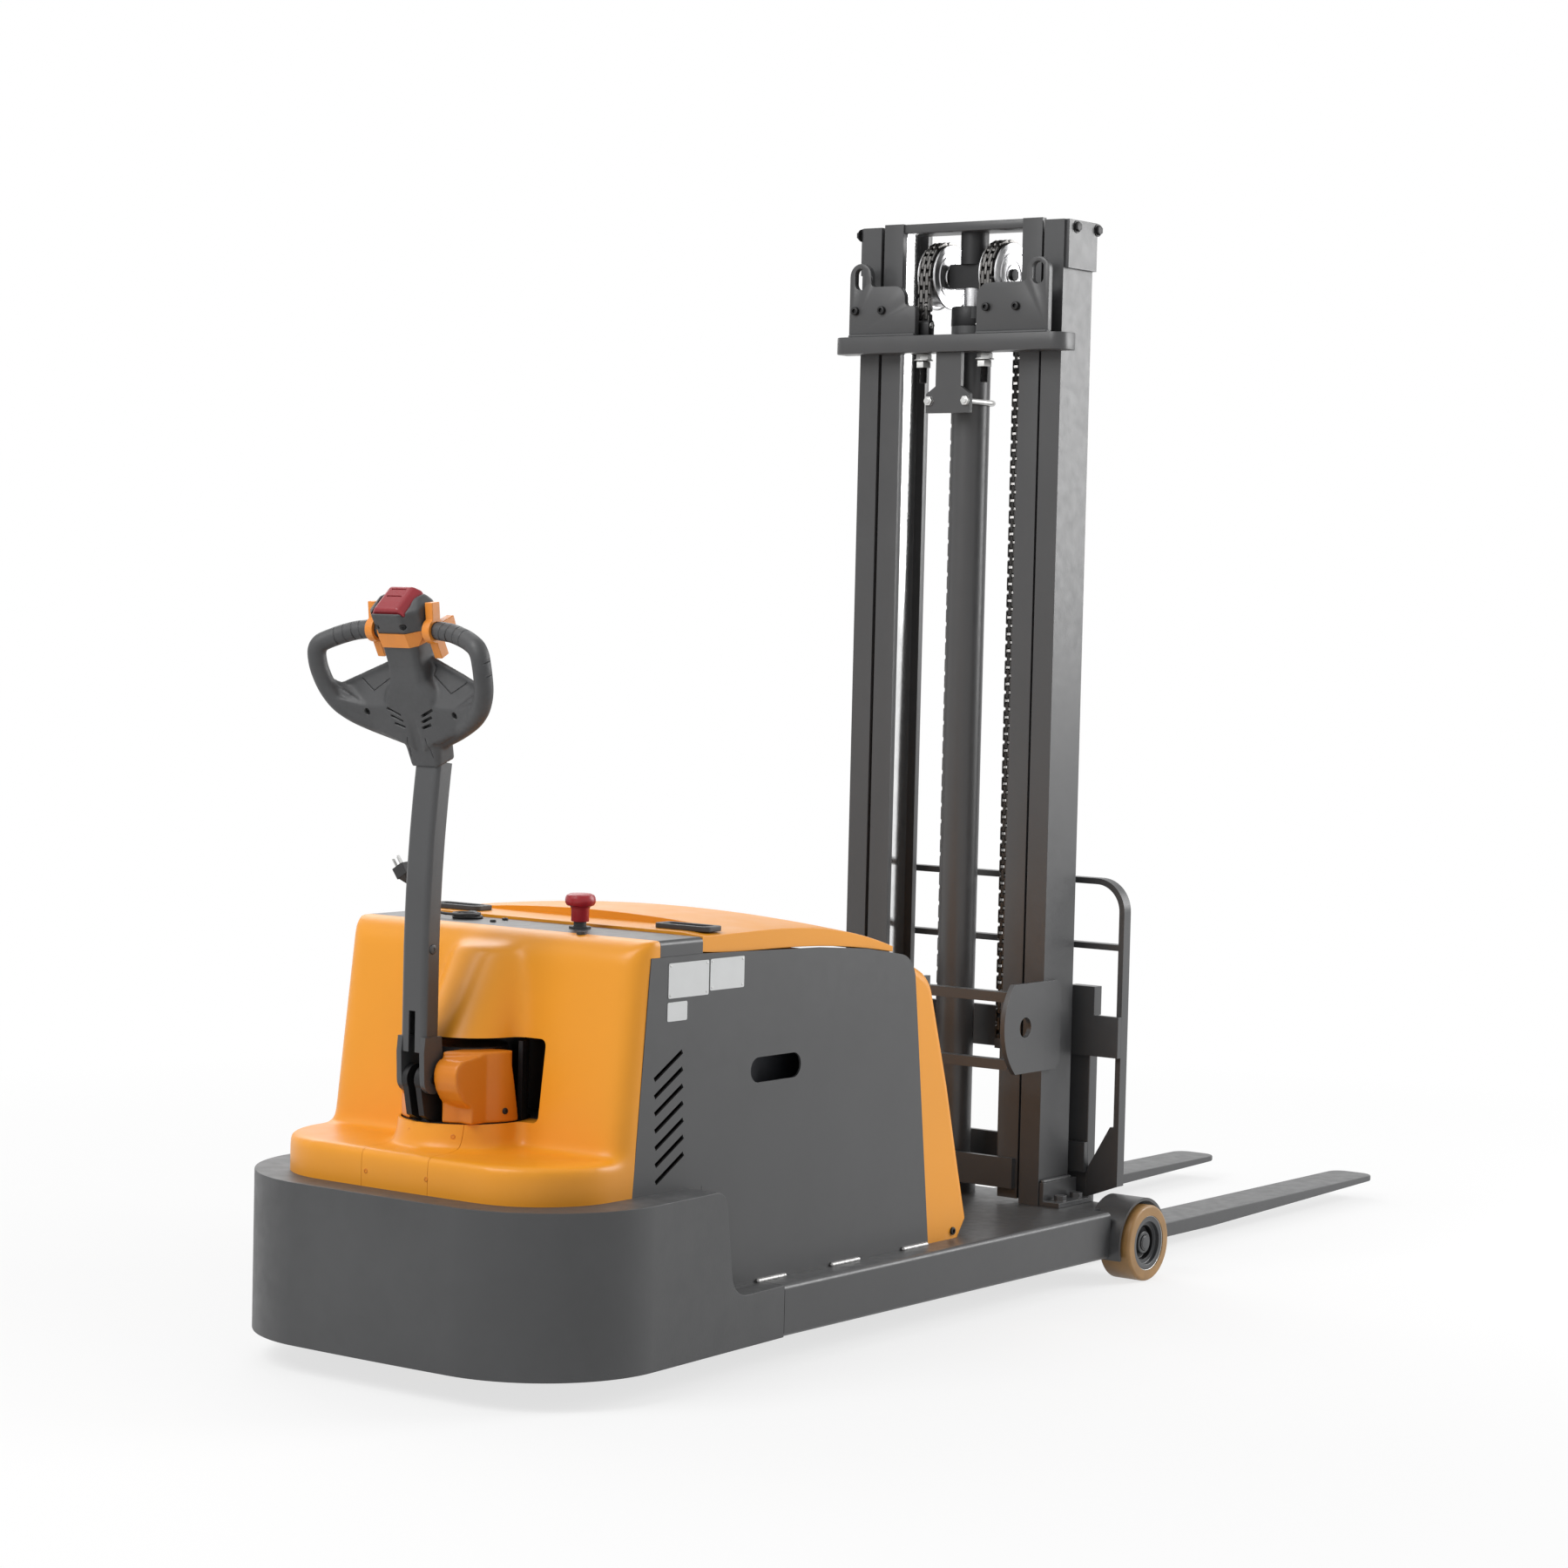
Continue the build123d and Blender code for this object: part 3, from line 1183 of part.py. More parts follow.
# Upper cross plate with the two lifting eyes
tie_top = tie_z + tie_t
eye_rear = mast_x - tie_deep - eye_t
with BuildPart() as mast_cross_plate:
    with BuildSketch(Plane.XY.offset(tie_z)) as tie_face:
        with Locations((mast_x - tie_deep / 2, 0)):
            Rectangle(tie_deep, 2 * tie_half)
        fillet(tie_face.vertices().filter_by(lambda v: v.X < mast_x - 1), 18)
        with Locations((lift_x - pitch_r, sheave_y), (lift_x - pitch_r, -sheave_y)):
            Circle(8 + run_gap, mode=Mode.SUBTRACT)
    extrude(amount=tie_t)
    for side in (1, -1):
        with BuildSketch(Plane.YZ.offset(eye_rear)) as eye_face:
            outline([(side * 82, tie_z + 6), (side * 236, tie_z + 6), (side * 238, eye_top),
                     (side * 188, eye_top), (side * 184, tie_top + 100), (side * 120, tie_top + 100),
                     (side * 101, tie_top + 60), (side * 82, tie_top + 60)])
            fillet(eye_face.vertices().filter_by(lambda v: v.Y > eye_top - 1), 20)
            fillet(eye_face.vertices().filter_by(
                lambda v: abs(abs(v.X) - 120) < 1 and abs(v.Y - tie_top - 100) < 1), 24)
            with Locations((side * 212, eye_top - 31)):
                SlotOverall(44, 28, rotation=90, mode=Mode.SUBTRACT)
        extrude(amount=eye_t)
        for y in eye_bolts[side]:
            with BuildSketch(Plane.YZ.offset(eye_rear)):
                with Locations((side * y, tie_top + 53)):
                    RegularPolygon(10, 6)
            extrude(amount=-8)
mast_cross_plate.part.label = "mast_cross_plate"
export_step(mast_cross_plate.part, "parts/mast_cross_plate.step")

# Tie frame: two plates with a round hole and two square bars
with BuildPart() as mast_tie_frame:
    for side in (1, -1):
        with BuildSketch(side_plane(side * channel_out)):
            with BuildLine():
                Polyline((mast_x - 121, 588), (mast_x + 36, 588), (mast_x + 50, 574), (mast_x + 50, 426),
                         (mast_x + 36, 412), (mast_x - 109, 412))
                ThreePointArc((mast_x - 109, 412), (mast_x - 152, 505), (mast_x - 121, 588))
            make_face()
            with Locations((hole_x, hole_z)):
                Circle(hole_r, mode=Mode.SUBTRACT)
        extrude(amount=-side * tie_plate_t)
    for z in (563, 431):
        with BuildSketch(Plane.XZ):
            with Locations((mast_x - 115, z)):
                Rectangle(tie_bar, tie_bar)
        extrude(amount=channel_out + 1, both=True)
mast_tie_frame.part.label = "mast_tie_frame"
export_step(mast_tie_frame.part, "parts/mast_tie_frame.step")

with BuildPart() as mast_foot_brackets:
    for side in (1, -1):
        with BuildSketch(Plane.YZ.offset(mast_x + 3)):
            outline([(side * channel_out, deck_z), (side * (channel_out + foot_w), deck_z),
                     (side * (channel_out + foot_w), deck_z + 10), (side * (channel_out + 10), deck_z + 10),
                     (side * (channel_out + 10), deck_z + foot_h), (side * channel_out, deck_z + foot_h)])
        extrude(amount=122)
        with BuildSketch(Plane.XY.offset(deck_z + 10)):
            bolt_y = side * (channel_out + 29)
            with Locations((mast_x + 36, bolt_y), (mast_x + 94, bolt_y)):
                RegularPolygon(13, 6)
        extrude(amount=11)
mast_foot_brackets.part.label = "mast_foot_brackets"
export_step(mast_foot_brackets.part, "parts/mast_foot_brackets.step")

# Lift cylinder, rod and clamp
with BuildPart() as lift_cylinder:
    with BuildSketch(Plane.XY.offset(deck_z)):
        with Locations((lift_x, 0)):
            Circle(barrel_r)
    extrude(amount=gland_foot - deck_z)
    with BuildSketch(Plane.XY.offset(gland_foot)):
        with Locations((lift_x, 0)):
            Circle(gland_r)
    extrude(amount=gland_top - gland_foot)
    with BuildSketch(Plane.XY.offset(deck_z + 20)):
        with Locations((lift_x, 0)):
            Circle(bore_r)
    extrude(amount=gland_foot - deck_z - 20, mode=Mode.SUBTRACT)
    with BuildSketch(Plane.XY.offset(gland_foot - 1)):
        with Locations((lift_x, 0)):
            Circle(rod_r + run_gap)
    extrude(amount=gland_top - gland_foot + 2, mode=Mode.SUBTRACT)
lift_cylinder.part.label = "lift_cylinder"
export_step(lift_cylinder.part, "parts/lift_cylinder.step")

rod_top = sheave_z - crosshead_h / 2
with BuildPart() as piston_rod:
    with BuildSketch(Plane.XY.offset(piston_foot)):
        with Locations((lift_x, 0)):
            Circle(bore_r - run_gap)
    extrude(amount=piston_t)
    with BuildSketch(Plane.XY.offset(piston_foot)):
        with Locations((lift_x, 0)):
            Circle(rod_r)
    extrude(amount=rod_top - piston_foot)
piston_rod.part.label = "piston_rod"
export_step(piston_rod.part, "parts/piston_rod.step")

clamp_x = mast_x - 36.0
with BuildPart() as cylinder_clamp:
    with BuildSketch(Plane.YZ.offset(clamp_x)):
        outline([(-52, clamp_foot), (52, clamp_foot), (52, clamp_shoulder), (30, clamp_neck), (30, tie_z),
                 (-30, tie_z), (-30, clamp_neck), (-52, clamp_shoulder)])
    extrude(amount=12)
    with BuildLine() as strap_line:
        Line((clamp_x - 8, barrel_r + 6, strap_z), (lift_x, barrel_r + 6, strap_z))
        ThreePointArc((lift_x, barrel_r + 6, strap_z), (lift_x + barrel_r + 6, 0, strap_z),
                      (lift_x, -barrel_r - 6, strap_z))
        Line((lift_x, -barrel_r - 6, strap_z), (clamp_x - 8, -barrel_r - 6, strap_z))
    with BuildSketch(Plane.YZ.offset(clamp_x - 8)):
        with Locations((barrel_r + 6, strap_z)):
            Circle(5.5)
    sweep(path=strap_line.wire())
    for side in (1, -1):
        with BuildSketch(Plane.YZ.offset(clamp_x)):
            with Locations((side * (barrel_r + 6), strap_z)):
                RegularPolygon(10, 6)
        extrude(amount=-6)
    with BuildSketch(Plane.XY.offset(strap_z - strap_rest / 2)):
        with Locations(((clamp_x + 12 + lift_x - barrel_r) / 2, 0)):
            Rectangle(lift_x - barrel_r - clamp_x - 12, 40)
    extrude(amount=strap_rest)
cylinder_clamp.part.label = "cylinder_clamp"
export_step(cylinder_clamp.part, "parts/cylinder_clamp.step")

# Inner mast with lower rollers, rear tie and top bar
inner_x = mast_x + inner_rear
with BuildPart() as inner_mast:
    for side in (1, -1):
        with BuildSketch(Plane.XY.offset(inner_foot)):
            with Locations((inner_x + inner_deep / 2, side * (inner_in + inner_out) / 2)):
                Rectangle(inner_deep, inner_out - inner_in)
            with Locations((inner_x + inner_deep / 2, side * (inner_web_out + inner_out + 1) / 2)):
                Rectangle(inner_deep - 2 * inner_t, inner_out + 1 - inner_web_out, mode=Mode.SUBTRACT)
            with Locations((inner_x + inner_deep / 2, side * (inner_in - 1 + inner_web_in) / 2)):
                Rectangle(inner_deep - 2 * inner_t, inner_web_in - inner_in + 1, mode=Mode.SUBTRACT)
        extrude(amount=inner_top - inner_foot)
        with BuildSketch(side_plane(side * (inner_web_out - 1))):
            with Locations((mast_x + channel_deep / 2, inner_foot + 70)):
                Circle((channel_deep - 2 * channel_t) / 2 - roller_gap)
        extrude(amount=-side * (channel_out - channel_web - inner_web_out - 1))
    with BuildSketch(Plane.XY.offset(inner_top)):
        with Locations((inner_x, 0)):
            Rectangle(80, 2 * inner_out, align=(Align.MIN, Align.CENTER))
    extrude(amount=top_bar_t)
    with BuildSketch(Plane.YZ.offset(inner_x - 12)):
        with Locations((0, inner_foot + 50)):
            Rectangle(2 * inner_out - 10, 60)
    extrude(amount=12)
inner_mast.part.label = "inner_mast"
export_step(inner_mast.part, "parts/inner_mast.step")

with BuildPart() as crosshead:
    with BuildSketch(Plane.XY.offset(rod_top)):
        with Locations((lift_x, 0)):
            Rectangle(36, 2 * crosshead_half)
    extrude(amount=crosshead_h)
    with BuildSketch(Plane.XY.offset(rod_top + crosshead_h - 1)):
        with Locations((lift_x, 0)):
            Circle(boss_r)
    extrude(amount=inner_top - rod_top - crosshead_h + 1)
    with BuildSketch(side_plane(sheave_y + sheave_w / 2 + 5)):
        with Locations((lift_x, sheave_z)):
            Circle(sheave_pin_r)
    extrude(amount=2 * sheave_y + sheave_w + 10)
crosshead.part.label = "crosshead"
export_step(crosshead.part, "parts/crosshead.step")

# Sheaves with their chains
sheave_axis = Axis((lift_x, 0, sheave_z), (0, 1, 0))
groove_r = pitch_r - chain_t / 2 - fit_gap
for side, name in ((1, "left"), (-1, "right")):
    with BuildPart() as sheave:
        with BuildSketch(Plane(origin=(lift_x, 0, sheave_z), x_dir=(0, side, 0), z_dir=(side, 0, 0))):
            near = sheave_y - sheave_w / 2 + 2.2
            far = sheave_y + sheave_w / 2
            wall = (far - near - chain_w - 2) / 2
            outline([(near, sheave_pin_r + run_gap), (far, sheave_pin_r + run_gap), (far, sheave_r - 2),
                     (far - 2, sheave_r), (far - wall, sheave_r), (far - wall, groove_r),
                     (near + wall, groove_r), (near + wall, sheave_r), (near + 2, sheave_r),
                     (near, sheave_r - 2)])
        revolve(axis=sheave_axis)
    sheave.part.label = f"sheave_{name}"
    export_step(sheave.part, f"parts/sheave_{name}.step")

chain_mid = sheave_y + 1.1
with BuildPart() as chain_wraps:
    for side in (1, -1):
        with BuildSketch(side_plane(side * (chain_mid - chain_w / 2))):
            with BuildLine():
                CenterArc((lift_x, sheave_z), pitch_r - chain_t / 2, 0, 180)
                CenterArc((lift_x, sheave_z), pitch_r + chain_t / 2, 0, 180)
                for x in (-1, 1):
                    Line((lift_x + x * (pitch_r - chain_t / 2), sheave_z),
                         (lift_x + x * (pitch_r + chain_t / 2), sheave_z))
            make_face()
        extrude(amount=-side * chain_w)
chain_wraps.part.label = "chain_wraps"
export_step(chain_wraps.part, "parts/chain_wraps.step")

stud_top = tie_top + 12
with BuildPart() as chain_rear_runs:
    for side in (1, -1):
        with BuildSketch(Plane.XY.offset(stud_top)):
            with Locations((lift_x - pitch_r, side * chain_mid)):
                Rectangle(chain_t, chain_w)
        extrude(amount=sheave_z - stud_top)
chain_rear_runs.part.label = "chain_rear_runs"
export_step(chain_rear_runs.part, "parts/chain_rear_runs.step")

with BuildPart() as chain_front_runs:
    for side in (1, -1):
        with BuildSketch(Plane.XY.offset(anchor_z)):
            with Locations((lift_x + pitch_r, side * chain_mid)):
                Rectangle(chain_t, chain_w)
        extrude(amount=sheave_z - anchor_z)
chain_front_runs.part.label = "chain_front_runs"
export_step(chain_front_runs.part, "parts/chain_front_runs.step")

with BuildPart() as chain_anchors:
    for side in (1, -1):
        with BuildSketch(Plane.XY.offset(tie_z - 40)):
            with Locations((lift_x - pitch_r, side * sheave_y)):
                Circle(8)
        extrude(amount=tie_t + 42)
        with BuildSketch(Plane.XY.offset(tie_top)):
            with Locations((lift_x - pitch_r, side * chain_mid)):
                Rectangle(chain_t + 3, chain_w - 6)
        extrude(amount=stud_top - tie_top)
        with BuildSketch(Plane.XY.offset(tie_z)):
            with Locations((lift_x - pitch_r, side * sheave_y)):
                RegularPolygon(14, 6)
        extrude(amount=-26)
chain_anchors.part.label = "chain_anchors"
export_step(chain_anchors.part, "parts/chain_anchors.step")

# Carriage: roller plates, cross bars, stop blocks and chain lugs
bar_x = fork_x - bar_t
with BuildPart() as carriage:
    for side in (1, -1):
        with BuildSketch(side_plane(side * side_in)):
            with Locations(((mast_x + 20 + bar_x + bar_t / 2) / 2, (side_foot + side_top) / 2)):
                Rectangle(bar_x + bar_t / 2 - mast_x - 20, side_top - side_foot)
        extrude(amount=-side * side_t)
        for z in (low_roller_z, high_roller_z):
            with BuildSketch(side_plane(side * (side_in + side_t - 1))):
                with Locations((inner_x + inner_deep / 2, z)):
                    Circle((inner_deep - 2 * inner_t) / 2 - roller_gap)
            extrude(amount=-side * (inner_web_in - 1 - side_in - side_t + 1))
        with BuildSketch(Plane.YZ.offset(bar_x)):
            with Locations((side * stop_y, wide_top - 1 + stop_h / 2)):
                Rectangle(stop_w, stop_h)
        extrude(amount=bar_t + 15)
        with BuildSketch(Plane.XY.offset(anchor_z - 20)):
            with Locations(((lift_x + pitch_r - chain_t / 2 + bar_x + 1) / 2, side * chain_mid)):
                Rectangle(bar_x + 1 - lift_x - pitch_r + chain_t / 2, chain_w)
        extrude(amount=20)
    for foot, top, half in ((wide_foot - 30, wide_top, rest_half), (side_foot + 5, side_foot + 65, fork_out)):
        with BuildSketch(Plane.YZ.offset(bar_x)):
            with Locations((0, (foot + top) / 2)):
                Rectangle(2 * half, top - foot)
        extrude(amount=bar_t)
carriage.part.label = "carriage"
export_step(carriage.part, "parts/carriage.step")

with BuildPart() as backrest:
    with BuildSketch(Plane.YZ.offset(fork_x)) as rest_face:
        with Locations((0, (rest_foot + rest_top) / 2)):
            Rectangle(2 * rest_half, rest_top - rest_foot)
        fillet(rest_face.vertices().sort_by(Axis.Y)[2:], rest_round)
        with BuildSketch(mode=Mode.PRIVATE) as rest_hole:
            with Locations((0, (rest_foot - 1 + rest_top - rest_bar) / 2)):
                Rectangle(2 * (rest_half - rest_bar), rest_top - rest_bar - rest_foot + 1)
            fillet(rest_hole.vertices().sort_by(Axis.Y)[2:], rest_round - rest_bar)
        add(rest_hole.sketch, mode=Mode.SUBTRACT)
        with Locations((0, rest_mid - rest_bar / 2)):
            Rectangle(2 * rest_half - rest_bar, rest_bar)
    extrude(amount=rest_deep)
    for side in (1, -1):
        with BuildSketch(Plane.YZ.offset(fork_x)):
            outline([(side * fork_out, rest_foot - 27), (side * (rest_half - 1), rest_foot),
                     (side * (rest_half - 1), 290), (side * (rest_half - 20), 290),
                     (side * fork_out, rest_foot + 30)])
        extrude(amount=10)
backrest.part.label = "backrest"
export_step(backrest.part, "parts/backrest.step")

# Forks
tip_x = mast_x + fork_reach
for side, name in ((1, "left"), (-1, "right")):
    with BuildPart() as fork:
        with BuildSketch(side_plane(side * fork_in)) as fork_side:
            outline([(fork_x, fork_shank), (fork_x, fork_top - fork_t + 12), (fork_x + 12, fork_top - fork_t),
                     (fork_x + 500, fork_top - fork_t), (tip_x, fork_top - fork_tip_t), (tip_x, fork_top),
                     (fork_x + fork_t, fork_top), (fork_x + fork_t, fork_shank - 8),
                     (fork_x + fork_t - 8, fork_shank)])
            fillet(fork_side.vertices().filter_by(
                lambda v: abs(v.X - fork_x - fork_t) < 1 and abs(v.Y - fork_top) < 1), 14)
        extrude(amount=-side * (fork_out - fork_in))
        fillet(fork.edges().filter_by(Axis.Z).filter_by(lambda e: abs(e.center().X - tip_x) < 1), fork_tip_r)
    fork.part.label = f"fork_{name}"
    export_step(fork.part, f"parts/fork_{name}.step")
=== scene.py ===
import json
import math

import bmesh
import bpy
from mathutils import Matrix, Vector

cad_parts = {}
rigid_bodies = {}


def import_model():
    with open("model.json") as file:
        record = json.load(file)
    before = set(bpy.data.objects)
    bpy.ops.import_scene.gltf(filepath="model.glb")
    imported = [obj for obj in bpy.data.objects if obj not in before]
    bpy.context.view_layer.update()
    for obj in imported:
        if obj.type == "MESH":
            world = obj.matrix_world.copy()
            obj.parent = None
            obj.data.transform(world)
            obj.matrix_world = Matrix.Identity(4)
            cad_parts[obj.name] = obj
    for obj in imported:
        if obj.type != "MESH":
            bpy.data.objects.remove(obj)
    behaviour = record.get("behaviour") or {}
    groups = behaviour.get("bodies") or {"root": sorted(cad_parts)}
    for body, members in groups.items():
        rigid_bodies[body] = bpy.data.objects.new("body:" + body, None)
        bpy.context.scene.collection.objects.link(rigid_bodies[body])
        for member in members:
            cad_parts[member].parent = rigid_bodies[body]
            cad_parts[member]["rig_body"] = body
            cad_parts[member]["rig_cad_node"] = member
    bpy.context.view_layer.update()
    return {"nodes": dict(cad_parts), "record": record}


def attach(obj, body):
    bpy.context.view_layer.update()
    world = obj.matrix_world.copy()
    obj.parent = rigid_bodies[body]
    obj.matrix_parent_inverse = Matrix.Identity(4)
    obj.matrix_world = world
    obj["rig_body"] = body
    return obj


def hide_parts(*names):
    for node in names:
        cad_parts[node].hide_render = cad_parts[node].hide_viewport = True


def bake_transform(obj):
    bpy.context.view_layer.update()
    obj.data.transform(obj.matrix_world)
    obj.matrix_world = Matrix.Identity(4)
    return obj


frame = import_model()
nodes = frame["nodes"]
MM = 0.001
X, Y, Z = range(3)


# Selecting and shaping helpers
def take_new(name):
    piece = bpy.context.object
    piece.name = name
    return piece


def link_new(name, data):
    piece = bpy.data.objects.new(name, data)
    bpy.context.scene.collection.objects.link(piece)
    return piece


def choose(*pieces):
    bpy.ops.object.select_all(action="DESELECT")
    for piece in pieces:
        piece.select_set(True)
    bpy.context.view_layer.objects.active = pieces[0]


def settle(piece):
    choose(piece)
    bpy.ops.object.transform_apply(location=True, rotation=True, scale=True)


def edit_all(piece):
    choose(piece)
    bpy.ops.object.mode_set(mode="EDIT")
    bpy.ops.mesh.select_all(action="SELECT")


def leave_edit():
    bpy.ops.object.mode_set(mode="OBJECT")


def pick(piece, kind, wanted):
    edit_all(piece)
    bpy.ops.mesh.select_mode(type=kind)
    bpy.ops.mesh.select_all(action="DESELECT")
    shape = bmesh.from_edit_mesh(piece.data)
    for part in shape.faces if kind == "FACE" else shape.edges:
        part.select_set(bool(wanted(part)))
    bmesh.update_edit_mesh(piece.data)


def low_end(edge, axis):
    return min(v.co[axis] for v in edge.verts)


def high_end(edge, axis):
    return max(v.co[axis] for v in edge.verts)


def run_of(edge, axis):
    return high_end(edge, axis) - low_end(edge, axis)


def bevel_edges(piece, offset, segments, wanted):
    pick(piece, "EDGE", wanted)
    bpy.ops.mesh.bevel(offset=offset, segments=segments, affect="EDGES")
    leave_edit()


def shift_picked(step):
    bpy.ops.transform.translate(value=step)
    leave_edit()


def apply_all(piece):
    choose(piece)
    for modifier in list(piece.modifiers):
        bpy.ops.object.modifier_apply(modifier=modifier.name)


def round_edges(piece, width, segments=2):
    bevel = piece.modifiers.new("edge_round", "BEVEL")
    bevel.width = width
    bevel.segments = segments
    bevel.limit_method = "ANGLE"
    bevel.angle_limit = math.radians(32)
    apply_all(piece)


def add_softer(piece, rounds):
    softer = piece.modifiers.new("soften", "SMOOTH")
    softer.factor = 0.5
    softer.iterations = rounds
    return softer


def fuse(piece, voxel, rounds=0):
    remesh = piece.modifiers.new("fuse", "REMESH")
    remesh.mode = "VOXEL"
    remesh.voxel_size = voxel
    if rounds:
        add_softer(piece, rounds)
    apply_all(piece)


def add_row(piece, count):
    row = piece.modifiers.new("row", "ARRAY")
    row.count = count
    row.use_relative_offset = False
    return row


def repeat_along(piece, count, step):
    row = add_row(piece, count)
    row.use_constant_offset = True
    row.constant_offset_displace = step
    apply_all(piece)


def smooth(piece, angle=35.0):
    choose(piece)
    bpy.ops.object.shade_smooth_by_angle(angle=math.radians(angle))


def even_shading(piece):
    weigh = piece.modifiers.new("even_shading", "WEIGHTED_NORMAL")
    weigh.keep_sharp = True
    apply_all(piece)


def join_all(pieces):
    choose(*pieces)
    bpy.ops.object.join()
    return pieces[0]


def copy_of(piece, name):
    choose(piece)
    bpy.ops.object.duplicate()
    return take_new(name)


def add_boolean(piece, operation):
    boolean = piece.modifiers.new("cut", "BOOLEAN")
    boolean.operation = operation
    boolean.solver = "EXACT"
    return boolean


def cut(piece, tool, operation="DIFFERENCE"):
    add_boolean(piece, operation).object = tool
    apply_all(piece)
    bpy.data.objects.remove(tool, do_unlink=True)


def cut_all(piece, tools):
    room = bpy.data.collections.new("cutters")
    bpy.context.scene.collection.children.link(room)
    for tool in tools:
        room.objects.link(tool)
    boolean = add_boolean(piece, "DIFFERENCE")
    boolean.operand_type = "COLLECTION"
    boolean.collection = room
    apply_all(piece)
    for tool in tools:
        bpy.data.objects.remove(tool, do_unlink=True)
    bpy.data.collections.remove(room)


def dress(piece, slot, finish=None, body="chassis"):
    piece.data.materials.clear()
    piece.data.materials.append(finishes[finish or slot_finish[slot]])
    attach(piece, body)


def dress_as(node, piece, finish=None):
    dress(piece, node_slot[node], finish or own_finish.get(node), node_body[node])
    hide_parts(node)


# Camera at the photograph's place
camera_place = (-5.9899, -4.1652, 1.3207)
camera_angles = (-53.255, 2.817, -1.361)
camera_lens, camera_sensor = 84.94, 36.0


def set_camera():
    turn, tilt, roll = (math.radians(a) for a in camera_angles)
    bpy.ops.object.camera_add()
    camera = take_new("photo_camera")
    camera.data.lens = camera_lens
    camera.data.sensor_width = camera_sensor
    camera.matrix_world = (Matrix.Translation(camera_place) @ Matrix.Rotation(turn, 4, "Z")
                           @ Matrix.Rotation(math.pi / 2 - tilt, 4, "X") @ Matrix.Rotation(-roll, 4, "Z"))
    bpy.context.scene.camera = camera


set_camera()


# Finishes
def set_inputs(node, **values):
    for name, value in values.items():
        node.inputs[name.replace("_", " ")].default_value = value


def add_node(tree, kind, **values):
    node = tree.nodes.new("ShaderNode" + kind)
    set_inputs(node, **values)
    return node


noise_low, noise_high = 0.3, 0.7


class Finish:
    def __init__(self, name):
        self.material = bpy.data.materials.new(name)
        self.material.use_nodes = True
        self.tree = self.material.node_tree
        self.link = self.tree.links.new
        self.shader = self.tree.nodes["Principled BSDF"]
        self.place = add_node(self.tree, "TexCoord").outputs["Object"]

    def noise(self, scale, detail=3.0, rough=0.5, stretch=None):
        node = add_node(self.tree, "TexNoise", Scale=scale, Detail=detail, Roughness=rough)
        source = self.place
        if stretch:
            mapping = add_node(self.tree, "Mapping", Scale=stretch)
            self.link(source, mapping.inputs["Vector"])
            source = mapping.outputs["Vector"]
        self.link(source, node.inputs["Vector"])
        return node.outputs["Fac"]

    def colour(self, value, low, high):
        ramp = add_node(self.tree, "ValToRGB")
        for stop, place, shade in zip(ramp.color_ramp.elements, (noise_low, noise_high), (low, high)):
            stop.position = place
            stop.color = (*shade, 1.0)
        self.link(value, ramp.inputs["Fac"])
        self.link(ramp.outputs["Color"], self.shader.inputs["Base Color"])

    def rough(self, value, low, high):
        spread = add_node(self.tree, "MapRange", From_Min=noise_low, From_Max=noise_high,
                          To_Min=low, To_Max=high)
        self.link(value, spread.inputs["Value"])
        self.link(spread.outputs["Result"], self.shader.inputs["Roughness"])

    def bump(self, height, distance):
        node = add_node(self.tree, "Bump", Strength=1.0, Distance=distance)
        self.link(height, node.inputs["Height"])
        self.link(node.outputs["Normal"], self.shader.inputs["Normal"])


def tint(colour, share):
    return tuple(min(1.0, c * share) for c in colour)


def plain_finish(name, colour, rough, blotch, vary, grain, depth, metal=0.0, coat=0.0):
    finish = Finish(name)
    finish.colour(finish.noise(blotch, 4.0), tint(colour, 1 - vary), tint(colour, 1 + vary))
    finish.rough(finish.noise(blotch * 6), rough * 0.9, rough * 1.12)
    finish.bump(finish.noise(grain, 2.0), depth)
    set_inputs(finish.shader, Metallic=metal, Coat_Weight=coat)
    if coat:
        set_inputs(finish.shader, Coat_Roughness=0.25, Specular_IOR_Level=0.35)
    return finish.material


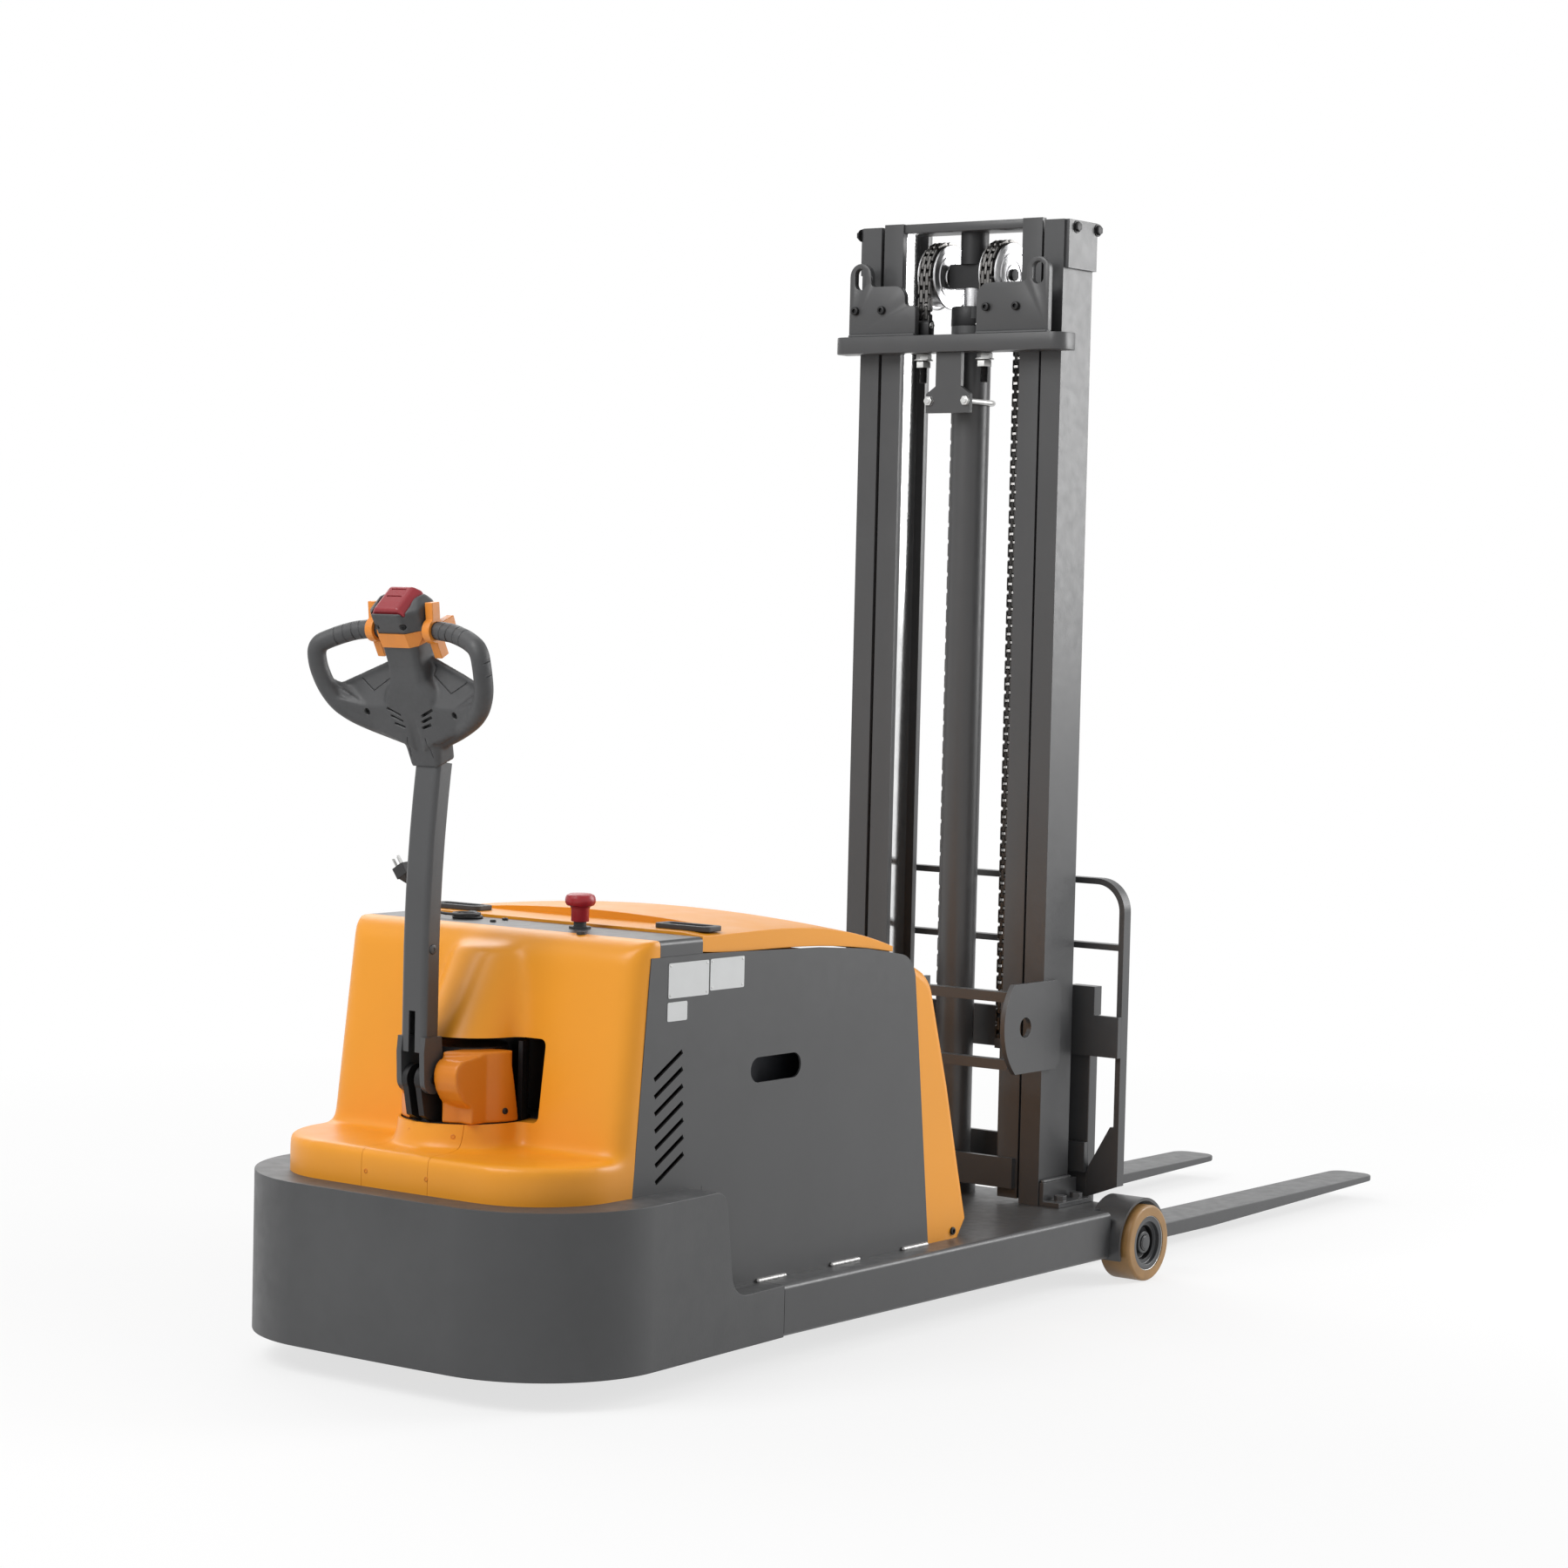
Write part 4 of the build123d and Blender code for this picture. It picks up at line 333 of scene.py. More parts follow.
# Colour, roughness, blotches to the metre and their contrast, grain to the metre and its depth, metal, coat
finish_rows = {
    "satin_grey_paint": ((0.057, 0.058, 0.06), 0.36, 7, 0.05, 700, 5e-5),
    "cast_grey_paint": ((0.054, 0.055, 0.057), 0.46, 5, 0.09, 260, 12e-5),
    "yellow_gel_coat": ((0.83, 0.325, 0.018), 0.4, 3, 0.03, 90, 2e-5, 0, 0.15),
    # The shroud coat is the yellow gel coat darkened: painted shade for the shrouds, which sit shaded from
    # above.
    "shade_darkened_yellow_coat": ((0.64, 0.195, 0.008), 0.4, 6, 0.03, 90, 2e-5, 0, 0.15),
    "black_moulding": ((0.03, 0.031, 0.033), 0.5, 30, 0.1, 2200, 4e-5),
    "grained_head_moulding": ((0.052, 0.053, 0.055), 0.52, 24, 0.08, 2600, 6e-5),
    "orange_moulding": ((0.7, 0.235, 0.026), 0.38, 22, 0.05, 1500, 3e-5),
    "red_moulding": ((0.43, 0.016, 0.026), 0.34, 22, 0.06, 1500, 3e-5),
    "dark_red_moulding": ((0.27, 0.016, 0.024), 0.38, 22, 0.06, 1500, 3e-5),
    "bare_race_steel": ((0.86, 0.86, 0.86), 0.12, 30, 0.06, 1500, 1e-5, 1),
    "blackened_steel": ((0.012, 0.012, 0.013), 0.46, 40, 0.15, 1200, 3e-5, 0.35),
    "cord_sheath": ((0.016, 0.016, 0.017), 0.46, 60, 0.12, 2400, 2e-5),
    "cast_alloy": ((0.5, 0.51, 0.52), 0.4, 14, 0.08, 800, 6e-5, 0.9),
    "amber_tyre_rubber": ((0.3, 0.165, 0.055), 0.42, 26, 0.14, 500, 8e-5),
    "hub_grey_paint": ((0.05, 0.052, 0.055), 0.4, 12, 0.08, 900, 4e-5),
    "zinc_steel": ((0.55, 0.55, 0.54), 0.34, 60, 0.1, 1500, 2e-5, 1),
    "weld_steel": ((0.33, 0.325, 0.32), 0.42, 160, 0.3, 420, 30e-5, 1),
    "white_label_film": ((0.64, 0.65, 0.65), 0.42, 30, 0.02, 900, 1e-5),
    "oiled_chain_steel": ((0.16, 0.155, 0.15), 0.32, 120, 0.25, 900, 3e-5, 1),
    "turned_sheave_steel": ((0.6, 0.6, 0.61), 0.3, 20, 0.05, 1500, 1e-5, 1),
    "battery_case": ((0.04, 0.042, 0.05), 0.55, 18, 0.1, 1400, 6e-5)}
finishes = {name: plain_finish(name, *row) for name, row in finish_rows.items()}


def turned_finish(name, colour, rough):
    finish = Finish(name)
    streaks = finish.noise(12.0, 4.0, 0.6, (1.0, 30.0, 1.0))
    finish.colour(streaks, tint(colour, 0.86), tint(colour, 1.06))
    finish.rough(finish.noise(90.0), rough * 0.8, rough * 1.25)
    finish.bump(streaks, 3e-5)
    set_inputs(finish.shader, Metallic=1.0)
    return finish.material


finishes["turned_bright_steel"] = turned_finish("turned_bright_steel", (0.62, 0.62, 0.63), 0.28)

slot_finish = {"frame_grey": "satin_grey_paint", "cover_yellow": "yellow_gel_coat",
               "black_plastic": "black_moulding", "cord_rubber": "cord_sheath",
               "orange_plastic": "orange_moulding", "red_plastic": "red_moulding",
               "dark_steel": "blackened_steel", "bright_steel": "turned_bright_steel",
               "cast_aluminium": "cast_alloy", "wheel_hub": "hub_grey_paint",
               "amber_tyre": "amber_tyre_rubber"}
own_finish = {"counterweight": "cast_grey_paint", "head_shell": "grained_head_moulding",
              "batteries": "battery_case", "belly_button": "dark_red_moulding"}
node_slot = {row["node"]: row["material_slot"] for row in frame["record"]["subparts"]}
node_body = {node: body for body, members in frame["record"]["behaviour"]["bodies"].items()
             for node in members}

for node, solid in nodes.items():
    solid.data.materials.clear()
    solid.data.materials.append(finishes[own_finish.get(node, slot_finish[node_slot[node]])])


# Faces that take a second finish
def paint_faces(piece, finish, wanted):
    piece.data.materials.append(finishes[finish])
    index = len(piece.data.materials) - 1
    for face in piece.data.polygons:
        if wanted(face.center, face.normal):
            face.material_index = index


# Softened copies of the hard-edged solids: merged, flattened and rounded along their edges
merge_gap, flat_degrees = 2e-5, 0.5


def merged_copy(node, name):
    piece = copy_of(nodes[node], name)
    piece.parent = None
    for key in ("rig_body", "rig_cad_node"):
        del piece[key]
    bpy.ops.mesh.customdata_custom_splitnormals_clear()
    edit_all(piece)
    bpy.ops.mesh.remove_doubles(threshold=merge_gap)
    bpy.ops.mesh.dissolve_limited(angle_limit=math.radians(flat_degrees))
    leave_edit()
    return piece


def soften(node, width, segments=2):
    piece = merged_copy(node, node + "_rounded")
    round_edges(piece, width, segments)
    smooth(piece, 40.0)
    even_shading(piece)
    dress_as(node, piece)
    return piece


# Charger cord: one smooth line through the coil's turns and the lead's points
cord_r = 0.0025
coil_x, coil_y = -1.1175, 0.161
low_layer, high_layer = 0.7545, 0.7601
half_turns = [(0.0, 0.0255), (-0.0028, 0.0227), (0.0, 0.0199), (-0.0028, 0.0171), (-0.0056, 0.0199),
              (-0.0028, 0.0227), (-0.0056, 0.0255)]
climbing, points_each = 3, 8
pull_out = 1 / math.cos(math.pi / points_each / 2)
cord_exit = (coil_x + half_turns[0][1], coil_y + 0.005, low_layer)
lead_route = [(-1.1486, 0.166, 0.7601), (-1.1486, 0.2, 0.7601), (-1.1526, 0.245, 0.7751),
              (-1.1566, 0.267, 0.8101)]
plug_body_long = 0.0345


def cord_line():
    points = [cord_exit]
    for k, (shift, radius) in enumerate(half_turns):
        for i in range(points_each):
            share = (i + 0.5) / points_each
            angle = math.pi * (k % 2 - share)
            level = low_layer if k < climbing else high_layer
            if k == climbing:
                level = low_layer + (high_layer - low_layer) * (1 - math.cos(math.pi * share)) / 2
            points.append((coil_x + shift + radius * pull_out * math.cos(angle),
                           coil_y + radius * pull_out * math.sin(angle), level))
    return points + lead_route


def make_plug():
    plug = soften("charger_plug", 0.001)
    lead_end = Vector(lead_route[-1])
    along = (lead_end - Vector(lead_route[-2])).normalized()
    paint_faces(plug, "zinc_steel", lambda c, n: (c - lead_end).dot(along) > plug_body_long)
    return plug


def make_cord(plug):
    line = bpy.data.curves.new("charger_cord", "CURVE")
    line.dimensions = "3D"
    line.bevel_depth = cord_r
    line.bevel_resolution = 4
    line.resolution_u = 6
    line.use_fill_caps = True
    spline = line.splines.new("NURBS")
    points = cord_line()
    spline.points.add(len(points) - 1)
    for point, place in zip(spline.points, points):
        point.co = (*place, 1.0)
    spline.order_u = 3
    spline.use_endpoint_u = True
    cord = link_new("charger_cord", line)
    line.materials.append(finishes["cord_sheath"])
    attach(cord, "chassis")
    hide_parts("cord_coil", "cord_lead")


make_cord(make_plug())


# Blocks, prisms and turned shapes that the new pieces start from
def add_block(name, low, high):
    bpy.ops.mesh.primitive_cube_add(size=1.0, location=[(a + b) / 2 for a, b in zip(low, high)])
    block = take_new(name)
    block.scale = [b - a for a, b in zip(low, high)]
    settle(block)
    return block


def add_cone(name, place, foot, top, foot_r, top_r, sides=96):
    bpy.ops.mesh.primitive_cone_add(vertices=sides, radius1=foot_r, radius2=top_r, depth=top - foot,
                                    location=(place[0], place[1], (foot + top) / 2))
    cone = take_new(name)
    settle(cone)
    return cone


def start_mesh(name, points, edges, faces):
    shape = bpy.data.meshes.new(name)
    shape.from_pydata(points, edges, faces)
    piece = link_new(name, shape)
    edit_all(piece)
    return piece


def close_mesh():
    bpy.ops.mesh.normals_make_consistent(inside=False)
    leave_edit()


def add_prism(name, outline, reach, fan=False):
    count = len(outline)
    faces = [(0, i, i + 1) for i in range(1, count - 1)] if fan else [list(range(count))]
    piece = start_mesh(name, outline, [], faces)
    bpy.ops.mesh.extrude_region_move(TRANSFORM_OT_translate={"value": reach})
    bpy.ops.mesh.select_all(action="SELECT")
    close_mesh()
    return piece


def add_side_prism(name, line, y, reach):
    return add_prism(name, [(x, y, z) for x, z in line], (0, reach, 0))


def add_turned(name, profile, place, axis, steps=48):
    axis = Vector(axis).normalized()
    side = axis.orthogonal().normalized()
    points = [Vector(place) + side * r + axis * s for r, s in profile]
    piece = start_mesh(name, points, [(i, i + 1) for i in range(len(points) - 1)], [])
    bpy.ops.mesh.spin(steps=steps, angle=2 * math.pi, center=place, axis=axis)
    bpy.ops.mesh.select_all(action="SELECT")
    bpy.ops.mesh.remove_doubles(threshold=1e-5)
    close_mesh()
    smooth(piece)
    return piece


# Rods, slabs and fasteners placed along a direction
def turn_to(piece, place, along):
    piece.rotation_mode = "QUATERNION"
    piece.rotation_quaternion = Vector(along).to_track_quat("Z", "Y")
    piece.location = place
    settle(piece)


def add_cylinder(name, sides, radius, height, middle=0.0):
    bpy.ops.mesh.primitive_cylinder_add(vertices=sides, radius=radius, depth=height, location=(0, 0, middle))
    cylinder = take_new(name)
    settle(cylinder)
    return cylinder


def add_rod(name, start, end, radius, sides=24):
    start, end = Vector(start), Vector(end)
    rod = add_cylinder(name, sides, radius, (end - start).length)
    turn_to(rod, (start + end) / 2, end - start)
    return rod


def add_slab(name, start, end, width, depth, out):
    start, end = Vector(start), Vector(end)
    along = (end - start).normalized()
    across = Vector(out).cross(along).normalized()
    bpy.ops.mesh.primitive_cube_add(size=1.0)
    slab = take_new(name)
    place = Matrix((along * (end - start).length, across * width, along.cross(across) * depth)).transposed()
    place = place.to_4x4()
    place.translation = (start + end) / 2
    slab.matrix_world = place
    settle(slab)
    return slab


def add_ring(name, place, along, major, minor):
    bpy.ops.mesh.primitive_torus_add(major_radius=major, minor_radius=minor, major_segments=40,
                                     minor_segments=8)
    ring = take_new(name)
    turn_to(ring, place, along)
    return ring


def add_screw(name, place, out, radius, height, socket=0.5, deep=0.6):
    edge = 0.24
    screw = add_cylinder(name, 20, radius, height, height / 2)
    bevel_edges(screw, radius * edge, 2, lambda e: low_end(e, Z) > 0.9 * height)
    pick(screw, "FACE", lambda f: f.normal.z > 0.9 and len(f.verts) > 12)
    bpy.ops.mesh.inset(thickness=radius * (1 - edge - socket))
    bpy.ops.mesh.extrude_region_move(TRANSFORM_OT_translate={"value": (0, 0, -height * deep)})
    leave_edit()
    turn_to(screw, place, out)
    smooth(screw, 30.0)
    return screw


def add_hex(name, place, out, radius, height, washer_r=0.0, washer_t=0.0):
    middle = washer_t + height / 2
    head = add_cylinder(name, 6, radius, height, middle)
    bevel_edges(head, radius * 0.12, 2, lambda e: low_end(e, Z) > middle)
    if washer_t:
        head = join_all([head, add_rod(name + "_washer", (0, 0, 0), (0, 0, washer_t), washer_r)])
    turn_to(head, place, out)
    smooth(head, 30.0)
    return head


def add_weld(name, start, end, radius):
    start, end = Vector(start), Vector(end)
    count = max(3, int((end - start).length / (0.8 * radius)))
    bpy.ops.mesh.primitive_uv_sphere_add(segments=12, ring_count=8, radius=radius, location=start)
    bead = take_new(name)
    settle(bead)
    repeat_along(bead, count, (end - start) / (count - 1))
    fuse(bead, radius * 0.28)
    smooth(bead, 60.0)
    return bead


# Rear cover: one moulded form, then cut into the cover and its access panel
steer_x = -1.2935
cover_half, cover_skin = 0.333, 0.012
cover_foot, cover_ledge, cover_top = 0.327, 0.392, 0.752
cover_front, ledge_rear, wall_rear, wall_lean = -1.05, -1.4615, -1.2895, 0.048
ledge_corner_r, ledge_bow = 0.15, 0.008
hood_foot, hood_top, hood_lean = 0.54, 0.728, 0.0965
niche_half, niche_foot, niche_top, niche_back = 0.152, 0.436, 0.577, -1.2155
niche_mouth, niche_corner_r = -1.75, 0.012
liner_back, liner_wall = -1.139, 0.003
panel_half, panel_front, panel_gap = 0.074, -1.297, 0.0007
strip_line = [(-1.1898, 0.8), (-1.1898, 0.724), (-1.2128, 0.724), (-1.2508, cover_foot), (-1.2508, 0.2),
              (-1.0, 0.2), (-1.0, 0.8)]


def ledge_block(name, inset, foot):
    rear, half = ledge_rear + inset, cover_half - inset
    block = add_block(name, (rear, -half, foot), (cover_front, half, cover_ledge - inset))
    bevel_edges(block, ledge_corner_r - inset, 18,
                lambda e: high_end(e, X) < rear + 0.001 and run_of(e, Z) > 0.05)
    return block


def wall_block(name, inset, foot, edge_r):
    rear, half = wall_rear + inset, cover_half - inset
    block = add_block(name, (rear, -half, foot), (cover_front, half, cover_top - inset))
    pick(block, "EDGE", lambda e: high_end(e, X) < rear + 0.001 and low_end(e, Z) > 0.6)
    shift_picked((wall_lean, 0, 0))
    bevel_edges(block, edge_r, 8, lambda e: high_end(e, X) < rear + 0.05 and high_end(e, Z) > 0.6)
    return block


def niche_block(name, wall, back=niche_back):
    half, low = niche_half + wall, niche_foot - wall
    plan = [(niche_mouth, half), (back + wall, half), (back + wall, -half), (niche_mouth, -half)]
    block = add_prism(name, [(x, y, low) for x, y in plan], (0, 0, niche_top - niche_foot + 2 * wall))
    bevel_edges(block, niche_corner_r + wall, 6, lambda e: run_of(e, X) > 0.03)
    return block


def clamp(value):
    return min(1.0, max(0.0, value))


def smooth_share(place):
    return 1.0 - 0.85 * clamp((place.x + 1.235) / 0.03) if place.z > 0.7 else 1.0


def hood_share(place):
    side = clamp((0.235 - abs(place.y)) / 0.06)
    low = clamp((place.z - 0.56) / 0.03)
    high = clamp((0.742 - place.z) / 0.03)
    return side * low * high


def soften_by(piece, share, rounds):
    group = piece.vertex_groups.new(name="soft_share")
    for vertex in piece.data.vertices:
        group.add([vertex.index], share(vertex.co), "REPLACE")
    add_softer(piece, rounds).vertex_group = group.name
    apply_all(piece)
    piece.vertex_groups.clear()


def moulded_form():
    ledge = ledge_block("rear_cover_moulding", 0.0, 0.25)
    wall = wall_block("cover_wall", 0.0, cover_ledge - 0.004, 0.04)
    hood = add_cone("cover_hood", (steer_x, 0), hood_foot, hood_top, 0.0925, 0.086)
    pick(hood, "FACE", lambda f: f.calc_center_median().z > hood_top - 0.001)
    shift_picked((hood_lean, 0, 0))
    collar = add_cone("cover_collar", (steer_x, 0), cover_ledge - 0.02, 0.462, 0.1205, 0.1085)
    form = join_all([ledge, wall, hood, collar])
    fuse(form, 0.005)
    soften_by(form, hood_share, 80)
    soften_by(form, smooth_share, 46)
    for vertex in form.data.vertices:
        share = clamp((-1.3 - vertex.co.x) / 0.15)
        vertex.co.x -= ledge_bow * share * (1 - (vertex.co.y / cover_half) ** 2)
    return form


def front_room(name):
    return add_side_prism(name, strip_line, -0.4, 0.8)


def make_niche_liner():
    liner = niche_block("niche_liner", liner_wall, liner_back)
    cut(liner, niche_block("liner_room", 0.0, liner_back))
    cut(liner, add_cone("liner_bore", (steer_x, 0), 0.4, 0.5, 0.1105, 0.1105))
    cut(liner, front_room("liner_reach"), "INTERSECT")
    smooth(liner)
    dress(liner, "black_plastic")


def panel_block(name, gap):
    half = panel_half + gap
    return add_block(name, (-1.6, -half, 0.3), (panel_front, half, 0.46))


def make_rear_cover():
    form = moulded_form()
    cut(form, front_room("front_cut"))
    cut(form, add_block("foot_cut", (-1.6, -0.4, 0.2), (-1.1, 0.4, cover_foot)))
    hollow = ledge_block("hollow", cover_skin, 0.22)
    cut(hollow, wall_block("hollow_wall", cover_skin, 0.21, 0.034), "UNION")
    cut(hollow, niche_block("niche_wall", 0.004))
    cut(form, hollow)
    cut(form, niche_block("niche", 0.0))
    cut(form, add_cone("drum_bore", (steer_x, 0), 0.3, 0.565, 0.1095, 0.1095))
    cut(form, add_cone("key_bore", (-1.2005, -0.17), 0.7, 0.8, 0.0056, 0.0056, 32))
    panel = copy_of(form, "access_panel_moulding")
    cut(panel, panel_block("panel_room", 0.0), "INTERSECT")
    cut(form, panel_block("panel_gap", panel_gap))
    for piece, node in ((form, "rear_cover"), (panel, "access_panel")):
        edit_all(piece)
        bpy.ops.mesh.remove_doubles(threshold=0.0004)
        leave_edit()
        smooth(piece)
        dress_as(node, piece)


make_rear_cover()
make_niche_liner()

# Hard-edged solids shown with rounded edges, in millimetres, and those with more steps round the edge
soft_edges = {"base_frame": 2.0, "counterweight": 5.0, "side_plate_left": 0.8, "side_plate_right": 0.8,
              "dash_strip": 0.8, "battery_cover": 4.0, "outer_mast_left": 5.0, "outer_mast_right": 5.0,
              "mast_tie_frame": 2.0, "mast_foot_brackets": 1.5, "inner_mast": 4.0, "carriage": 1.5,
              "backrest": 3.0, "fork_left": 3.0, "fork_right": 3.0, "tiller_bracket": 1.5, "tiller_arm": 1.0,
              "head_band": 2.5, "thumb_paddles": 3.5, "belly_button": 5.0, "cover_pulls": 1.5,
              "crosshead": 1.5, "cylinder_clamp": 1.2}
finer_edges = {"outer_mast_left": 4, "outer_mast_right": 4, "inner_mast": 4, "belly_button": 4,
               "thumb_paddles": 3}
rounded = {node: soften(node, width * MM, finer_edges.get(node, 2)) for node, width in soft_edges.items()}

# Front cover: a thin moulding with rounded shoulder and corners, open at its back and foot
front_back, front_foot, front_half, front_skin = -0.5035, 0.141, 0.3287, 0.005
front_line = [(-0.4595, 0.674), (-0.3755, 0.64), (-0.3085, 0.432), (-0.2695, 0.291), (-0.2355, 0.172)]


def front_form(name, skin, past, corner):
    line = [(front_back - past, 0.682 - skin)] + [(x - 1.2 * skin, z - skin) for x, z in front_line]
    line += [(-0.2575 - skin, front_foot - past), (front_back - past, front_foot - past)]
    half = front_half - skin
    form = add_side_prism(name, line, -half, 2 * half)
    bevel_edges(form, 0.03, 6,
                lambda e: run_of(e, Y) > 0.1 and -0.42 < low_end(e, X) < -0.35 and low_end(e, Z) > 0.6)
    bevel_edges(form, corner, 6, lambda e: run_of(e, Y) < 0.001 and low_end(e, X) + high_end(e, X) > -0.88
                and low_end(e, Z) + high_end(e, Z) > 0.286)
    return form


def make_front_cover():
    form = front_form("front_cover_moulding", 0.0, 0.0, 0.024)
    cut(form, front_form("front_hollow", front_skin, 0.002, 0.02))
    smooth(form)
    even_shading(form)
    dress_as("front_cover", form)


make_front_cover()

# Louvres opened to their full width
louvre_along = Vector((math.cos(math.radians(30)), 0, math.sin(math.radians(30)))) * 0.0425
louvre_wide, louvre_count = 0.0084, 7


def louvre_cutters(y):
    middles = [Vector((-1.1615 + 0.0015 * k, y, 0.541 - 0.029 * k)) for k in range(louvre_count)]
    return [add_slab("louvre", m - louvre_along, m + louvre_along, louvre_wide, 0.02, (0, 1, 0))
            for m in middles]


for node, plate_y in (("side_plate_right", -0.331), ("side_plate_left", 0.331)):
    cut_all(rounded[node], louvre_cutters(plate_y))
    choose(rounded[node])
    bpy.ops.mesh.customdata_custom_splitnormals_clear()
    smooth(rounded[node], 40.0)
    even_shading(rounded[node])

# Tiller shrouds: two cheeks fused to their share of the drum, in the yellow gel coat darkened as painted
# shade
shroud_line = [(-1.38, 0.437), (-1.3815, 0.4657), (-1.392, 0.47), (-1.402, 0.479), (-1.4115, 0.494),
               (-1.417, 0.509), (-1.4177, 0.523), (-1.413, 0.536), (-1.403, 0.545), (-1.357, 0.553),
               (-1.29, 0.556), (-1.29, 0.437)]
shroud_room = [(-1.45, 0.43), (-1.45, 0.57), (-1.3064, 0.57), (-1.279, 0.437)]
shroud_in, shroud_nose = 0.036, -1.418


def shroud_cheek(name, side, outer, flare):
    cheek = add_side_prism(name, shroud_line, side * shroud_in, side * 0.03)
    for vertex in cheek.data.vertices:
        if abs(vertex.co.y) > 0.05:
            vertex.co.y = side * (outer + flare * (vertex.co.x - shroud_nose))
    drum = add_cone(name + "_drum", (steer_x, 0), 0.437, 0.5575, 0.1086, 0.1086)
    cut(drum, add_side_prism(name + "_room", shroud_room, side * shroud_in, side * 0.1), "INTERSECT")
    return join_all([cheek, drum])


def make_shrouds():
    shrouds = join_all([shroud_cheek("tiller_shroud_mouldings", -1, 0.086, 0.115),
                        shroud_cheek("left_shroud", 1, 0.047, 0.0)])
    fuse(shrouds, 0.002, 18)
    smooth(shrouds, 60.0)
    # The shrouds take the darkened yellow coat as painted shade.
    dress_as("tiller_shrouds", shrouds, "shade_darkened_yellow_coat")


make_shrouds()

# Emergency-stop knob: a turned mushroom on its neck
knob_line = [(0.0, 0.7955), (0.0113, 0.7955), (0.0113, 0.7645), (0.015, 0.7645), (0.0155, 0.766),
             (0.0158, 0.786), (0.0175, 0.79), (0.0235, 0.7925), (0.0262, 0.797), (0.0265, 0.802),
             (0.0258, 0.806), (0.0235, 0.81), (0.018, 0.8125), (0.008, 0.813), (0.0, 0.813)]
knob = add_turned("estop_mushroom", knob_line, (-1.1185, -0.098, 0.0), (0, 0, 1))
dress_as("estop_knob", knob)

# Leaf chains: one pair of links, repeated round the sheave and along both runs
sheave_x, sheave_z = 0.1845, 1.979
chain_r, chain_y = 0.064, 0.0731
pitch = math.pi * chain_r / 12
wide_plates = [(-0.0125, 0.003), (0.0, 0.004), (0.0125, 0.003)]
narrow_plates = [(-0.0063, 0.006), (0.0063, 0.006)]
plate_corners = [(-1, -0.5), (-0.65, -1), (0.65, -1), (1, -0.5), (1, 0.5), (0.65, 1), (-0.65, 1), (-1, 0.5)]
plate_half, pin_r = 0.006, 0.003
pin_half = Vector((0, 0.0142, 0))


def chain_link(name, start, end, plates):
    start, end = Vector((start[0], 0, start[1])), Vector((end[0], 0, end[1]))
    along = (end - start).normalized()
    across = Vector((-along.z, 0, along.x))
    middle = (start + end) / 2
    long_half = (end - start).length / 2
    parts = []
    for y, thick in plates:
        outline = []
        for s, t in plate_corners:
            reach = (long_half + plate_half - 0.0025 * (abs(s) < 0.9)) * (1 if s > 0 else -1)
            outline.append(middle + along * reach + across * plate_half * t + Vector((0, y - thick / 2, 0)))
        parts.append(add_prism(name, outline, (0, thick, 0)))
    parts.append(add_rod(name, start - pin_half, start + pin_half, pin_r, 8))
    return join_all(parts)


def link_pair(name, points, first, second):
    return join_all([chain_link(name, points[0], points[1], first),
                     chain_link("next_link", points[1], points[2], second)])


def wrap_point(degrees):
    turn = math.radians(degrees)
    return (sheave_x - chain_r * math.cos(turn), sheave_z + chain_r * math.sin(turn))


def repeat_round(piece, count, turn):
    centre = Vector((sheave_x, 0, sheave_z))
    pivot = link_new("wrap_pivot", None)
    pivot.matrix_world = (Matrix.Translation(centre) @ Matrix.Rotation(turn, 4, "Y")
                          @ Matrix.Translation(-centre))
    row = add_row(piece, count)
    row.use_object_offset = True
    row.offset_object = pivot
    bpy.context.view_layer.update()
    apply_all(piece)
    bpy.data.objects.remove(pivot, do_unlink=True)


def both_sides(piece, shift):
    twin = copy_of(piece, piece.name + "_twin")
    for half, way in ((piece, 1), (twin, -1)):
        edit_all(half)
        shift_picked((0, way * shift, 0))
    return join_all([piece, twin])


def make_chains():
    rear_x, front_x = sheave_x - chain_r, sheave_x + chain_r
    levels = [sheave_z - pitch * k for k in range(3)]
    down_step = (0, 0, -2 * pitch)
    wrap = link_pair("chain_wrap_links", [wrap_point(a) for a in (0, 15, 30)], wide_plates, narrow_plates)
    repeat_round(wrap, 6, math.radians(30))
    rear = link_pair("chain_rear_links", [(rear_x, z) for z in levels], narrow_plates, wide_plates)
    repeat_along(rear, 3, down_step)
    front = link_pair("chain_front_links", [(front_x, z) for z in levels], wide_plates, narrow_plates)
    repeat_along(front, 46, down_step)
    for piece, node in ((wrap, "chain_wraps"), (rear, "chain_rear_runs"), (front, "chain_front_runs")):
        both_sides(piece, chain_y)
        smooth(piece, 30.0)
        piece.data.materials.append(finishes["oiled_chain_steel"])
        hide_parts(node)
    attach(wrap, "inner_mast")
    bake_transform(rear)
    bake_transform(front)


make_chains()

# Chain anchors: threaded studs with lock nuts below the plate and a clevis with its pin above it
anchor_x, clevis_pin_z = 0.1205, 1.8785
thread_count, thread_step = 14, 0.0022


